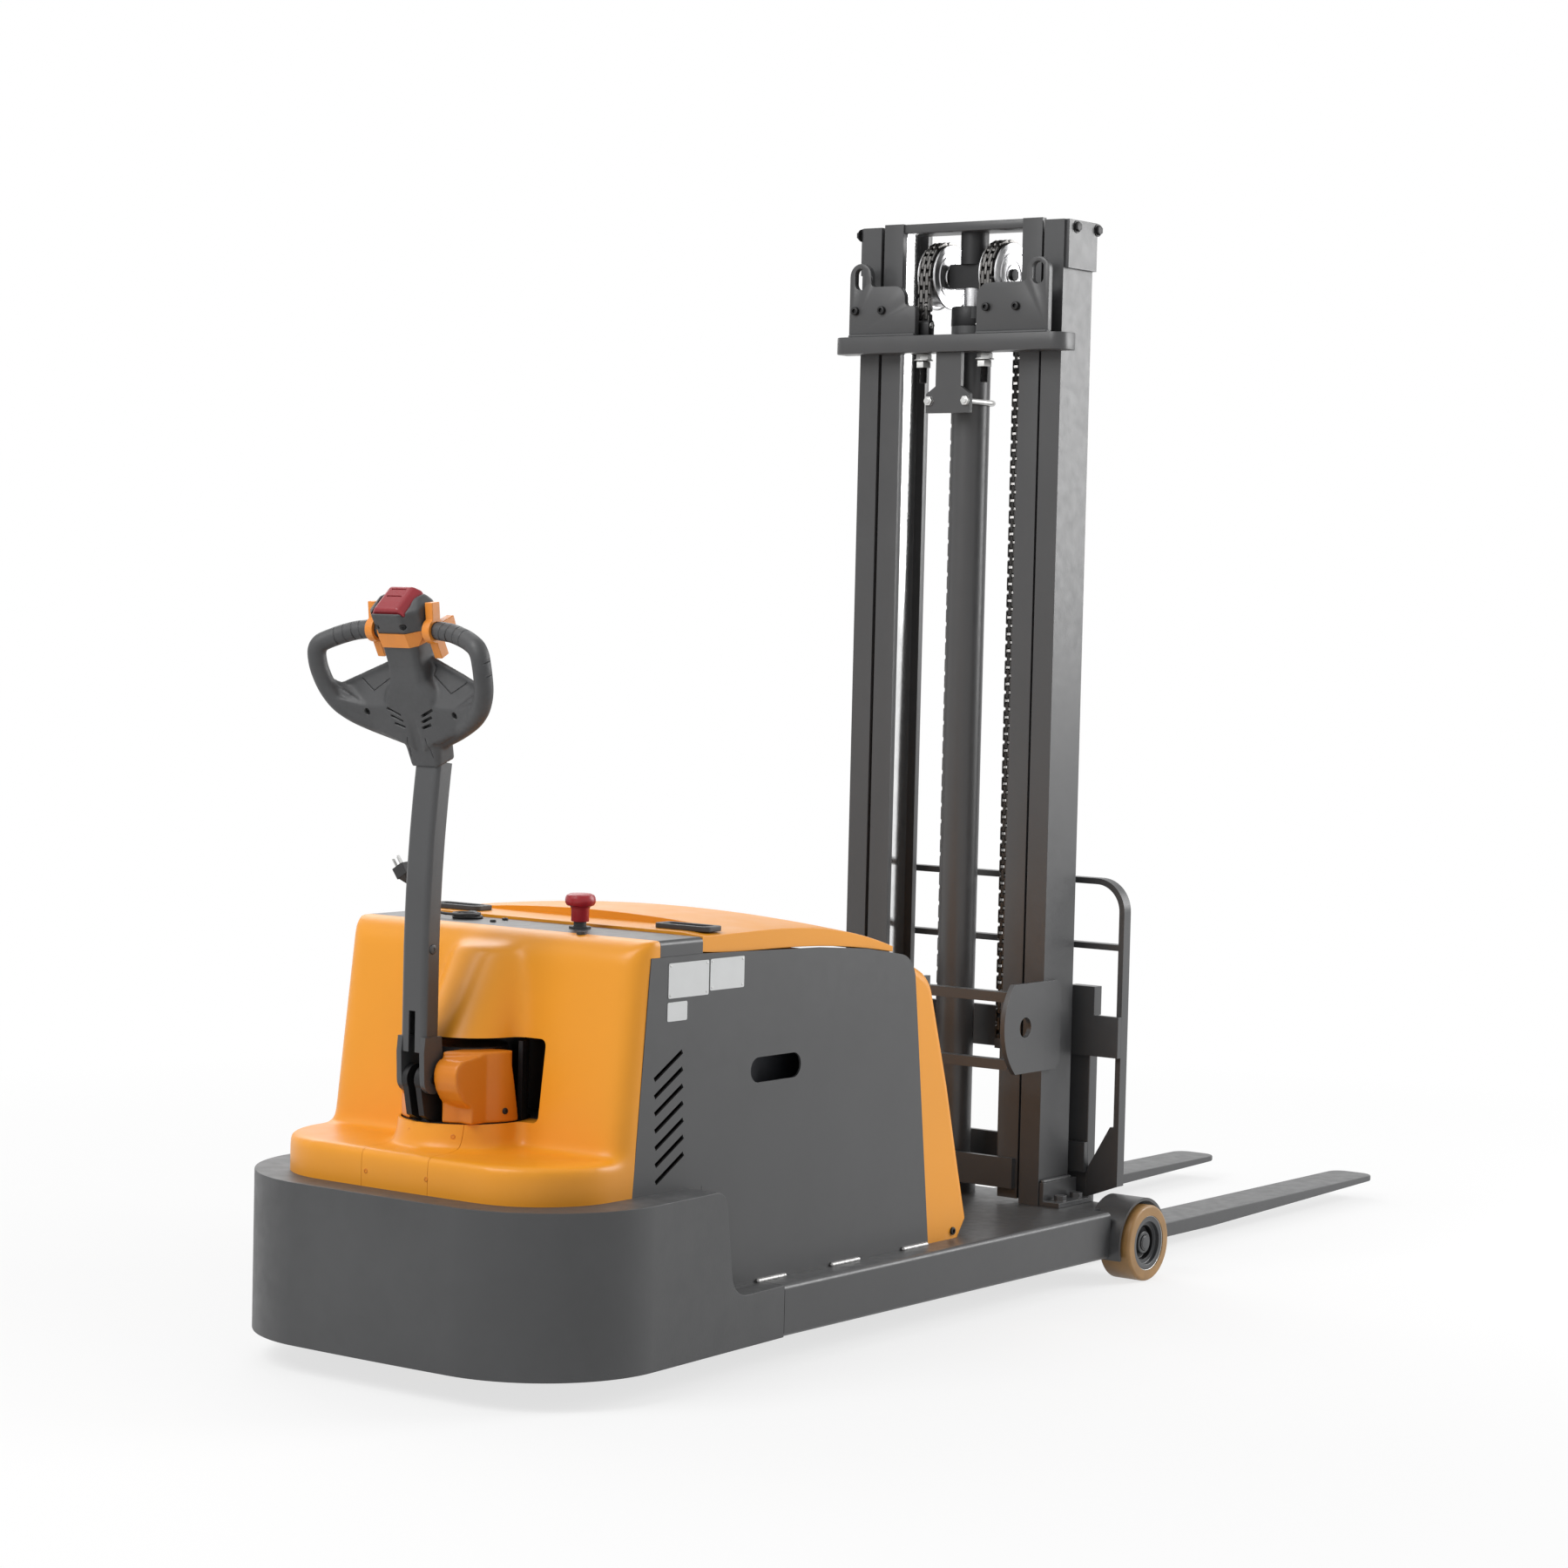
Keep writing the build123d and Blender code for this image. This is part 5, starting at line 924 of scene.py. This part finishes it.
def make_anchors():
    stud_line = [(0.0, 1.764), (0.0062, 1.764)]
    for k in range(thread_count):
        stud_line += [(0.0078, 1.7655 + thread_step * k), (0.0066, 1.7666 + thread_step * k)]
    stud_line += [(0.0078, 1.797), (0.0078, 1.86), (0.0, 1.86)]
    stud = add_turned("chain_anchor_studs", stud_line, (anchor_x, 0, 0), (0, 0, 1), 20)
    clevis = add_block("clevis", (0.1105, -0.0165, 1.857), (0.1305, 0.0165, 1.89))
    bevel_edges(clevis, 0.009, 5, lambda e: low_end(e, Z) > 1.88 and run_of(e, Y) > 0.02)
    round_edges(clevis, 0.0012)
    smooth(clevis)
    dark = both_sides(join_all([stud, clevis]), chain_y)
    dress_as("chain_anchors", dark)
    lower = add_hex("chain_anchor_nuts", (anchor_x, 0, 1.7945), (0, 0, 1), 0.0155, 0.0125)
    upper = add_hex("upper_nut", (anchor_x, 0, 1.8085), (0, 0, 1), 0.0155, 0.0115, 0.0185, 0.0025)
    edit_all(upper)
    bpy.ops.transform.rotate(value=math.radians(24), orient_axis="Z", center_override=(anchor_x, 0, 1.81))
    leave_edit()
    pin = add_rod("cotter", (anchor_x, -0.0215, clevis_pin_z), (anchor_x, 0.0215, clevis_pin_z), 0.0034, 16)
    eye = add_ring("cotter_eye", (0.1165, -0.0195, clevis_pin_z), (0, 1, 0.2), 0.0052, 0.0011)
    nuts = both_sides(join_all([lower, upper, pin, eye]), chain_y)
    dress(nuts, "bright_steel", "zinc_steel")


make_anchors()

# Sheaves: turned wheels with ring grooves on both faces
sheave_face = [(0.01, 0.0209), (0.0205, 0.0209), (0.0215, 0.0189), (0.0285, 0.0189), (0.0295, 0.0209),
               (0.044, 0.0209), (0.045, 0.0192), (0.051, 0.0192), (0.052, 0.0209), (0.063, 0.0209),
               (0.0645, 0.0197), (0.0645, 0.0175), (0.0632, 0.0165), (0.0578, 0.0158)]
sheave_line = sheave_face + [(r, -s) for r, s in reversed(sheave_face)] + [sheave_face[0]]
for side, node in ((1, "sheave_left"), (-1, "sheave_right")):
    wheel = add_turned(node + "_turned", sheave_line, (sheave_x, side * chain_y, sheave_z), (0, 1, 0), 64)
    dress_as(node, wheel, "turned_sheave_steel")

# Upper cross plate with the lifting-eye plates welded on top of it
eye_x, eye_t, eye_y = 0.0905, 0.014, 0.212


def arc_points(place, radius, first, last, steps):
    turns = [math.radians(first + (last - first) * k / steps) for k in range(steps + 1)]
    return [(place[0] + radius * math.cos(a), place[1] + radius * math.sin(a)) for a in turns]


def eye_plate(name, side, inner, corner):
    line = [(inner, 1.855), (0.238, 1.855)] + arc_points((eye_y, 1.978), 0.026, 0, 180, 14)
    line += arc_points((0.178, 1.965), 0.008, 0, -90, 5) + corner
    plate = add_prism(name, [(eye_x, side * y, z) for y, z in line], (eye_t, 0, 0))
    middle = side * eye_y
    slot = add_block(name + "_slot", (0.07, middle - 0.0135, 1.951), (0.12, middle + 0.0135, 1.995))
    bevel_edges(slot, 0.0134, 7, lambda e: run_of(e, X) > 0.02)
    cut(plate, slot)
    return plate


def make_cross_plate():
    plate = add_block("cross_plate_with_eyes", (0.0825, -0.274, 1.823), (0.1365, 0.274, 1.857))
    bevel_edges(plate, 0.028, 8, lambda e: high_end(e, X) < 0.09 and run_of(e, Z) > 0.02)
    left_corner = arc_points((0.128, 1.931), 0.026, 90, 180, 7)
    left_corner += arc_points((0.094, 1.925), 0.008, 0, -90, 4)
    left_corner += arc_points((0.084, 1.909), 0.008, 90, 180, 4)
    left = eye_plate("left_eye", 1, 0.076, left_corner)
    right = eye_plate("right_eye", -1, 0.07, arc_points((0.098, 1.929), 0.028, 90, 180, 8))
    for part in (plate, left, right):
        round_edges(part, 0.0016)
        smooth(part)
    welds = [add_weld("eye_weld", (0.0898, side * a, 1.8585), (0.0898, side * b, 1.8585), 0.0042)
             for side, a, b in ((1, 0.08, 0.234), (-1, 0.074, 0.234))]
    plate = join_all([plate, left, right] + welds)
    dress_as("mast_cross_plate", plate)
    bolts = join_all([add_screw("eye_plate_bolts", (eye_x, y, 1.909), (-1, 0, 0), 0.0085, 0.0075)
                      for y in (0.222, 0.157, -0.094, -0.164)])
    dress(bolts, "dark_steel")


make_cross_plate()

# Blank plates, welds, screws and closing sheets on the frame
data_plates = [(-1.1665, -1.0575, 0.6535, 0.7127), (-1.0535, -0.959, 0.6595, 0.7133)]
stitch_runs = [(-0.901, -0.825), (-0.683, -0.603), (-0.461, -0.388)]
stitch_y, stitch_z = 0.3345, 0.1425
cover_screw_r, painted_screw_r = 0.0075, 0.0044
cap_bolts = [(-1, 0.1694), (-1, 0.2458), (1, 0.1429), (1, 0.2458)]
sill_plan = [(-1.0885, 0.306), (-1.0885, 0.356), (-0.8915, 0.346), (-0.8915, 0.306)]
step_closer = [(-1.118, 0.142), (-1.0515, 0.142), (-1.0745, 0.29), (-1.0769, 0.302), (-1.0835, 0.3147),
               (-1.0926, 0.3205), (-1.118, 0.3215)]
notch_corner = [(-1.118, 0.25), (-1.063, 0.25), (-1.063, 0.3285), (-1.118, 0.3285)]


def add_plate(name, x0, x1, z0, z1):
    plate = add_block(name, (x0, -0.3339, z0), (x1, -0.3328, z1))
    bevel_edges(plate, 0.003, 4, lambda e: run_of(e, Y) > 0.0005)
    smooth(plate)
    return plate


def make_blank_plates():
    plates = join_all([add_plate("blank_plates", *place) for place in data_plates])
    dress(plates, "bright_steel", "white_label_film")
    sticker = add_plate("blank_sticker", -1.168, -1.115, 0.6148, 0.647)
    dress(sticker, "bright_steel", "white_label_film")
    rivets = join_all([add_screw("plate_rivets", (x, -0.3338, z), (0, -1, 0), 0.0016, 0.0011, 0.3, 0.2)
                       for x0, x1, z0, z1 in data_plates
                       for x in (x0 + 0.005, x1 - 0.005) for z in (z0 + 0.005, z1 - 0.005)])
    dress(rivets, "bright_steel", "zinc_steel")


def flat_turn(degrees, rise=0.0):
    turn = math.radians(degrees)
    return (math.cos(turn), math.sin(turn), rise)


def make_screws():
    screws = [add_screw("black_screws", (-0.2935, -0.3285, 0.1553), (0, -1, 0), cover_screw_r, 0.004),
              add_screw("cover_screw", (-0.2935, 0.3285, 0.1553), (0, 1, 0), cover_screw_r, 0.004)]
    painted = [add_screw("painted_screws", (-1.4675, 0.0642, 0.353), (-1, 0, 0), painted_screw_r, 0.0025),
               add_screw("ledge_screw", (-1.4675, -0.0713, 0.354), (-1, 0, 0), painted_screw_r, 0.0025)]
    painted += [add_screw("collar_screw", place, flat_turn(degrees, 0.12), painted_screw_r, 0.0025)
                for place, degrees in (((-1.408, 0.0214, 0.4206), 169.4), ((-1.3928, -0.061, 0.416), -148.4))]
    screws += [add_screw("strip_stud", (x, y, 0.7515), (0, 0, 1), 0.0055, 0.0045)
               for x, y in ((-1.1407, 0.0806), (-1.0973, 0.0905))]
    dress(join_all(screws), "dark_steel")
    # The ledge and collar screws take the same yellow coat darkened as painted shade.
    dress(join_all(painted), "cover_yellow", "shade_darkened_yellow_coat")
    caps = [add_hex("mast_cap_bolts", (x, side * 0.2488, 2.0665), (0, side, 0), 0.0095, 0.006, 0.0125, 0.0015)
            for side, x in cap_bolts]
    dress(join_all(caps), "dark_steel")
    plug = add_screw("arm_plug", (-1.4142, -0.0268, 0.7286), (0, -1, 0), 0.0085, 0.003, 0.35, 0.3)
    dress(plug, "black_plastic", body="tiller")
    screw = add_screw("shroud_screw", (-1.3144, -0.106, 0.4563), flat_turn(-101.4), 0.0055, 0.003)
    dress(screw, "dark_steel", body="steering")


def make_welds():
    seams = join_all([add_weld("stitch_welds", (a, side * stitch_y, stitch_z), (b, side * stitch_y, stitch_z),
                               0.0052) for side in (-1, 1) for a, b in stitch_runs])
    dress(seams, "bright_steel", "weld_steel")
    beads = [add_weld("foot_welds", (0.145, side * 0.246, 0.1885), (0.24, side * 0.246, 0.1885), 0.005)
             for side in (-1, 1)]
    dress(join_all(beads), "frame_grey")


def make_sills():
    sills = []
    for side in (-1, 1):
        sills.append(add_prism("deck_sills", [(x, side * y, 0.126) for x, y in sill_plan], (0, 0, 0.015)))
        round_edges(sills[-1], 0.001)
        sills.append(add_side_prism("step_closer", step_closer, side * 0.331, side * 0.0255))
        sills.append(add_side_prism("notch_corner", notch_corner, side * 0.3292, side * 0.0034))
    dress(join_all(sills), "frame_grey")


make_blank_plates()
make_welds()
make_screws()
make_sills()

# Front wheel hubs: a turned dish with a stepped recess, a bearing boss and its cap
wheel_x, wheel_z = 0.2585, 0.075
hub_line = [(0.0, -0.033), (0.0535, -0.033), (0.054, -0.0325), (0.054, 0.031), (0.0525, 0.0328),
            (0.044, 0.033), (0.0425, 0.0322), (0.0418, 0.025), (0.0405, 0.024), (0.0345, 0.0238),
            (0.0335, 0.0228), (0.0325, 0.013), (0.031, 0.012), (0.0235, 0.012), (0.0225, 0.013),
            (0.022, 0.0235), (0.0205, 0.025), (0.0165, 0.025), (0.016, 0.0235), (0.015, 0.0235),
            (0.0145, 0.0262), (0.012, 0.0285), (0.006, 0.0292), (0.0, 0.0293)]
for side, name in ((1, "left"), (-1, "right")):
    node = "front_hub_" + name
    hub = add_turned(node + "_turned", hub_line, (wheel_x, side * 0.3895, wheel_z), (0, side, 0), 64)
    dress_as(node, hub)
    paint_faces(hub, "blackened_steel", lambda c, n: abs(c.y) > 0.395
                and 0.023 < math.hypot(c.x - wheel_x, c.z - wheel_z) < 0.0345)
    rim = add_ring("hub_rim_" + name, (wheel_x, side * 0.422, wheel_z), (0, 1, 0), 0.0534, 0.0008)
    dress(rim, "bright_steel", "zinc_steel", node_body[node])

# Control head: the faceted solid filled out to its rims, fused, softened and then cut.
# Its places are in millimetres: across, up the leaning axis, and out towards the hands.
head_foot = Vector((-1.3915, 0, 1.03))
head_up, head_out = Vector((-0.34202, 0, 0.93969)), Vector((-0.93969, 0, -0.34202))
facet_out, belly_out = Vector((-0.97, 0, 0.23)), Vector((-0.69466, 0, 0.71934))
vent_lines = [((51, 114, 24), (23, 101, 24)), ((46, 101, 24), (20.8, 90.5, 24)),
              ((41, 87.5, 24), (18.6, 80, 24))]
seam_lines = [((86, 138, 8.6), (117, 154.5, -3)), ((86, 138, 8.6), (44, 163, -6)),
              ((44, 163, -6), (45, 186, -21.5))]
crease_line = ((20, 63, 24), (25, 26, 20))
groove_places = [(92, 241, -5.5), (108, 240, -4), (125, 236.6, 0.2), (142, 233.2, 4.5)]
notch_rows = [204, 181, 158]
wing_fill = [(97, 114, 23.5), (166, 138, 36), (161, 118, 37), (135, 96, 31.5), (104, 79, 24.5),
             (70, 62, 21.5), (42, 49, 19.5), (34, 70, 22)]
wing_web = [(97, 116, 22), (104, 150, 1), (140, 146, 2), (166, 147, 8), (177, 160, 20), (173, 138, 27),
            (150, 112, 29)]
wing_edge = [(30, 189.5, -20.5), (100, 165, -9.0), (166, 142.5, 5.0)]
screw_at, block_at = (97.5, 105.5), (30.4, 258.2, 26.6)


def head_place(y, row, depth):
    return head_foot + (head_up * row + head_out * depth + Vector((0, y, 0))) * MM


def side_place(side, place):
    return head_place(side * place[0], place[1], place[2])


def block_way(side):
    return Vector((-0.59, side * 0.7, -0.4)).normalized()


def head_cutters(side):
    def slots(name, lines, wide, deep, out):
        return [add_slab(name, side_place(side, a), side_place(side, b), wide, deep, out) for a, b in lines]

    tools = slots("vent", vent_lines, 0.0048, 0.02, head_out)
    tools += slots("seam", seam_lines, 0.0013, 0.006, facet_out)
    tools += slots("crease", [crease_line], 0.0014, 0.004, head_out)
    tools.append(add_rod("screw_bore", side_place(side, (*screw_at, 18)), side_place(side, (*screw_at, 40)),
                         0.0062))
    middle, way = side_place(side, block_at), block_way(side)
    tools.append(add_rod("block_bore", middle - way * 0.005, middle + way * 0.015, 0.0058))
    bar = head_place(side * 148, 232, 6) - head_place(side * 108, 240, -4)
    tools += [add_ring("groove", side_place(side, place), bar, 0.0162, 0.0012) for place in groove_places]
    tools += slots("notch", [((198.5, row, 12), (198.5, row, 40)) for row in notch_rows], 0.0036, 0.006,
                   (0, side, 0))
    return tools


def button_rooms():
    rooms = []
    for travel in (0.0, 0.0032, 0.0064):
        room = copy_of(rounded["belly_button"], "button_room")
        middle = sum((v.co for v in room.data.vertices), Vector()) / len(room.data.vertices)
        edit_all(room)
        bpy.ops.transform.resize(value=(1.014, 1.014, 1.014), center_override=middle)
        shift_picked(belly_out * -travel)
        rooms.append(room)
    return rooms


def make_head():
    parts = [merged_copy("head_shell", "control_head_moulding")]
    for side in (1, -1):
        fill, web, edge = ([side_place(side, p) for p in line] for line in (wing_fill, wing_web, wing_edge))
        parts.append(add_prism("fill", fill, head_out * -0.014, fan=True))
        parts.append(add_prism("web", web, head_out * -0.01, fan=True))
        parts += [add_rod("wing_edge", a, b, 0.0045, 16) for a, b in zip(edge, edge[1:])]
    head = join_all(parts)
    fuse(head, 0.0025, 9)
    cut_all(head, head_cutters(1) + head_cutters(-1) + button_rooms())
    smooth(head, 38.0)
    dress_as("head_shell", head)
    screws = []
    for side in (1, -1):
        screws.append(add_screw("head_screws", side_place(side, (*screw_at, 18.5)), head_out, 0.0052, 0.003))
        place, way = side_place(side, block_at), block_way(side)
        screws.append(add_screw("block_screw", place - way * 0.0045, way, 0.0048, 0.0025))
    dress(join_all(screws), "dark_steel", body="tiller")


make_head()

# Red button's two finger grooves
cut_all(rounded["belly_button"], [add_slab("finger_groove", head_place(-16, *at), head_place(16, *at), 0.0024,
                                           0.003, belly_out) for at in ((310, -15.2), (303, -0.4))])


# Inner mast: beams run up beside a separate top bar, with bare races, and the front flanges' inner faces
# painted black as painted shade inside the channels
def finish_inner_mast():
    mast = rounded["inner_mast"]
    cut(mast, add_block("bar_room", (0.1, -0.25, 2.06), (0.3, 0.25, 2.2)))
    pick(mast, "FACE", lambda f: f.normal.z > 0.9 and f.calc_center_median().z > 2.055)
    shift_picked((0, 0, 0.025))
    bar = add_block("top_bar", (0.1415, -0.144, 2.066), (0.2125, 0.144, 2.0845))
    round_edges(bar, 0.002)
    bar.data.materials.append(finishes["satin_grey_paint"])
    join_all([mast, bar])
    smooth(mast, 40.0)
    paint_faces(mast, "bare_race_steel", lambda c, n: n.y * c.y < 0 and abs(n.y) > 0.7 and 0.15 < c.x < 0.232
                and abs(c.y) > 0.15)
    # The front flanges' inner faces take blackened steel: painted shade inside the channels.
    paint_faces(mast, "blackened_steel", lambda c, n: n.x < -0.7 and c.x > 0.215 and abs(c.y) < 0.175)


finish_inner_mast()
paint_faces(rounded["cylinder_clamp"], "zinc_steel", lambda c, n: c.x < 0.1003 or (
    c.x > 0.113 and abs(c.z - 1.727) < 0.007 and (abs(c.y) > 0.03 or c.x > 0.2)))

# Gland nut on top of the lift cylinder
gland_line = [(0.0375, 1.8625), (0.0405, 1.8625), (0.0405, 1.874), (0.0437, 1.88), (0.0437, 1.9145),
              (0.042, 1.9175), (0.02, 1.9175), (0.02, 1.912), (0.0375, 1.912), (0.0375, 1.8625)]
spanner_turns, spanner_r = (0.6, 2.17, 3.74, 5.31), 0.046


def spanner_slot(turn):
    out = Vector((math.cos(turn), math.sin(turn), 0))
    low = Vector((sheave_x, 0, 1.893)) + out * spanner_r
    return add_slab("spanner_slot", low, low + Vector((0, 0, 0.032)), 0.01, 0.012, out)


def make_gland():
    nut = add_turned("gland_nut", gland_line, (sheave_x, 0, 0), (0, 0, 1))
    cut_all(nut, [spanner_slot(turn) for turn in spanner_turns])
    smooth(nut)
    dress(nut, "dark_steel")


make_gland()


# Floor, lamps and sky: both backgrounds show white to the eye and in reflections
def seen_share(tree):
    rays = add_node(tree, "LightPath")
    either = add_node(tree, "Math")
    either.operation = "MAXIMUM"
    tree.links.new(rays.outputs["Is Camera Ray"], either.inputs[0])
    tree.links.new(rays.outputs["Is Glossy Ray"], either.inputs[1])
    return either.outputs[0]


def mix_shaders(tree, share, first, second, last):
    mix = add_node(tree, "MixShader")
    for source, target in zip((share, first.outputs[0], second.outputs[0]), mix.inputs):
        tree.links.new(source, target)
    tree.links.new(mix.outputs["Shader"], tree.nodes[last].inputs["Surface"])


def make_floor():
    bpy.ops.mesh.primitive_plane_add(size=40.0, location=(0, 0, -0.0005))
    floor = take_new("studio_floor")
    settle(floor)
    material = bpy.data.materials.new("pale_studio_floor")
    material.use_nodes = True
    tree = material.node_tree
    matte = tree.nodes["Principled BSDF"]
    set_inputs(matte, Base_Color=(0.86, 0.86, 0.86, 1), Roughness=0.9)
    glow = add_node(tree, "Emission", Strength=1.0)
    far = add_node(tree, "MapRange", From_Min=1.6, From_Max=3.6, To_Min=0.72, To_Max=1.0)
    reach = add_node(tree, "VectorMath")
    reach.operation = "LENGTH"
    share = add_node(tree, "Math")
    share.operation = "MULTIPLY"
    link = tree.links.new
    link(add_node(tree, "TexCoord").outputs["Object"], reach.inputs[0])
    link(reach.outputs["Value"], far.inputs["Value"])
    link(seen_share(tree), share.inputs[0])
    link(far.outputs["Result"], share.inputs[1])
    mix_shaders(tree, share.outputs[0], matte, glow, "Material Output")
    floor.data.materials.append(material)


def make_sky():
    world = bpy.data.worlds.new("studio_sky")
    bpy.context.scene.world = world
    world.use_nodes = True
    tree = world.node_tree
    soft = tree.nodes["Background"]
    set_inputs(soft, Color=(1, 1, 1, 1), Strength=0.42)
    white = add_node(tree, "Background", Color=(1, 1, 1, 1), Strength=1.0)
    mix_shaders(tree, seen_share(tree), soft, white, "World Output")


def add_lamp(name, place, aim, size, power):
    bpy.ops.object.light_add(type="AREA", location=place)
    lamp = take_new(name)
    lamp.data.size = size
    lamp.data.energy = power
    lamp.rotation_mode = "QUATERNION"
    lamp.rotation_quaternion = (Vector(aim) - Vector(place)).to_track_quat("-Z", "Y")


make_floor()
make_sky()
add_lamp("key_softbox", (-4.4, 0.9, 4.3), (-1.0, 0, 0.6), 3.0, 165.0)
add_lamp("side_softbox", (3.0, -2.9, 2.3), (0.2, -0.25, 1.4), 2.4, 135.0)
add_lamp("back_softbox", (2.5, 4.5, 4.5), (0, 0, 1.0), 4.0, 105.0)
bpy.context.scene.view_settings.view_transform = "Standard"
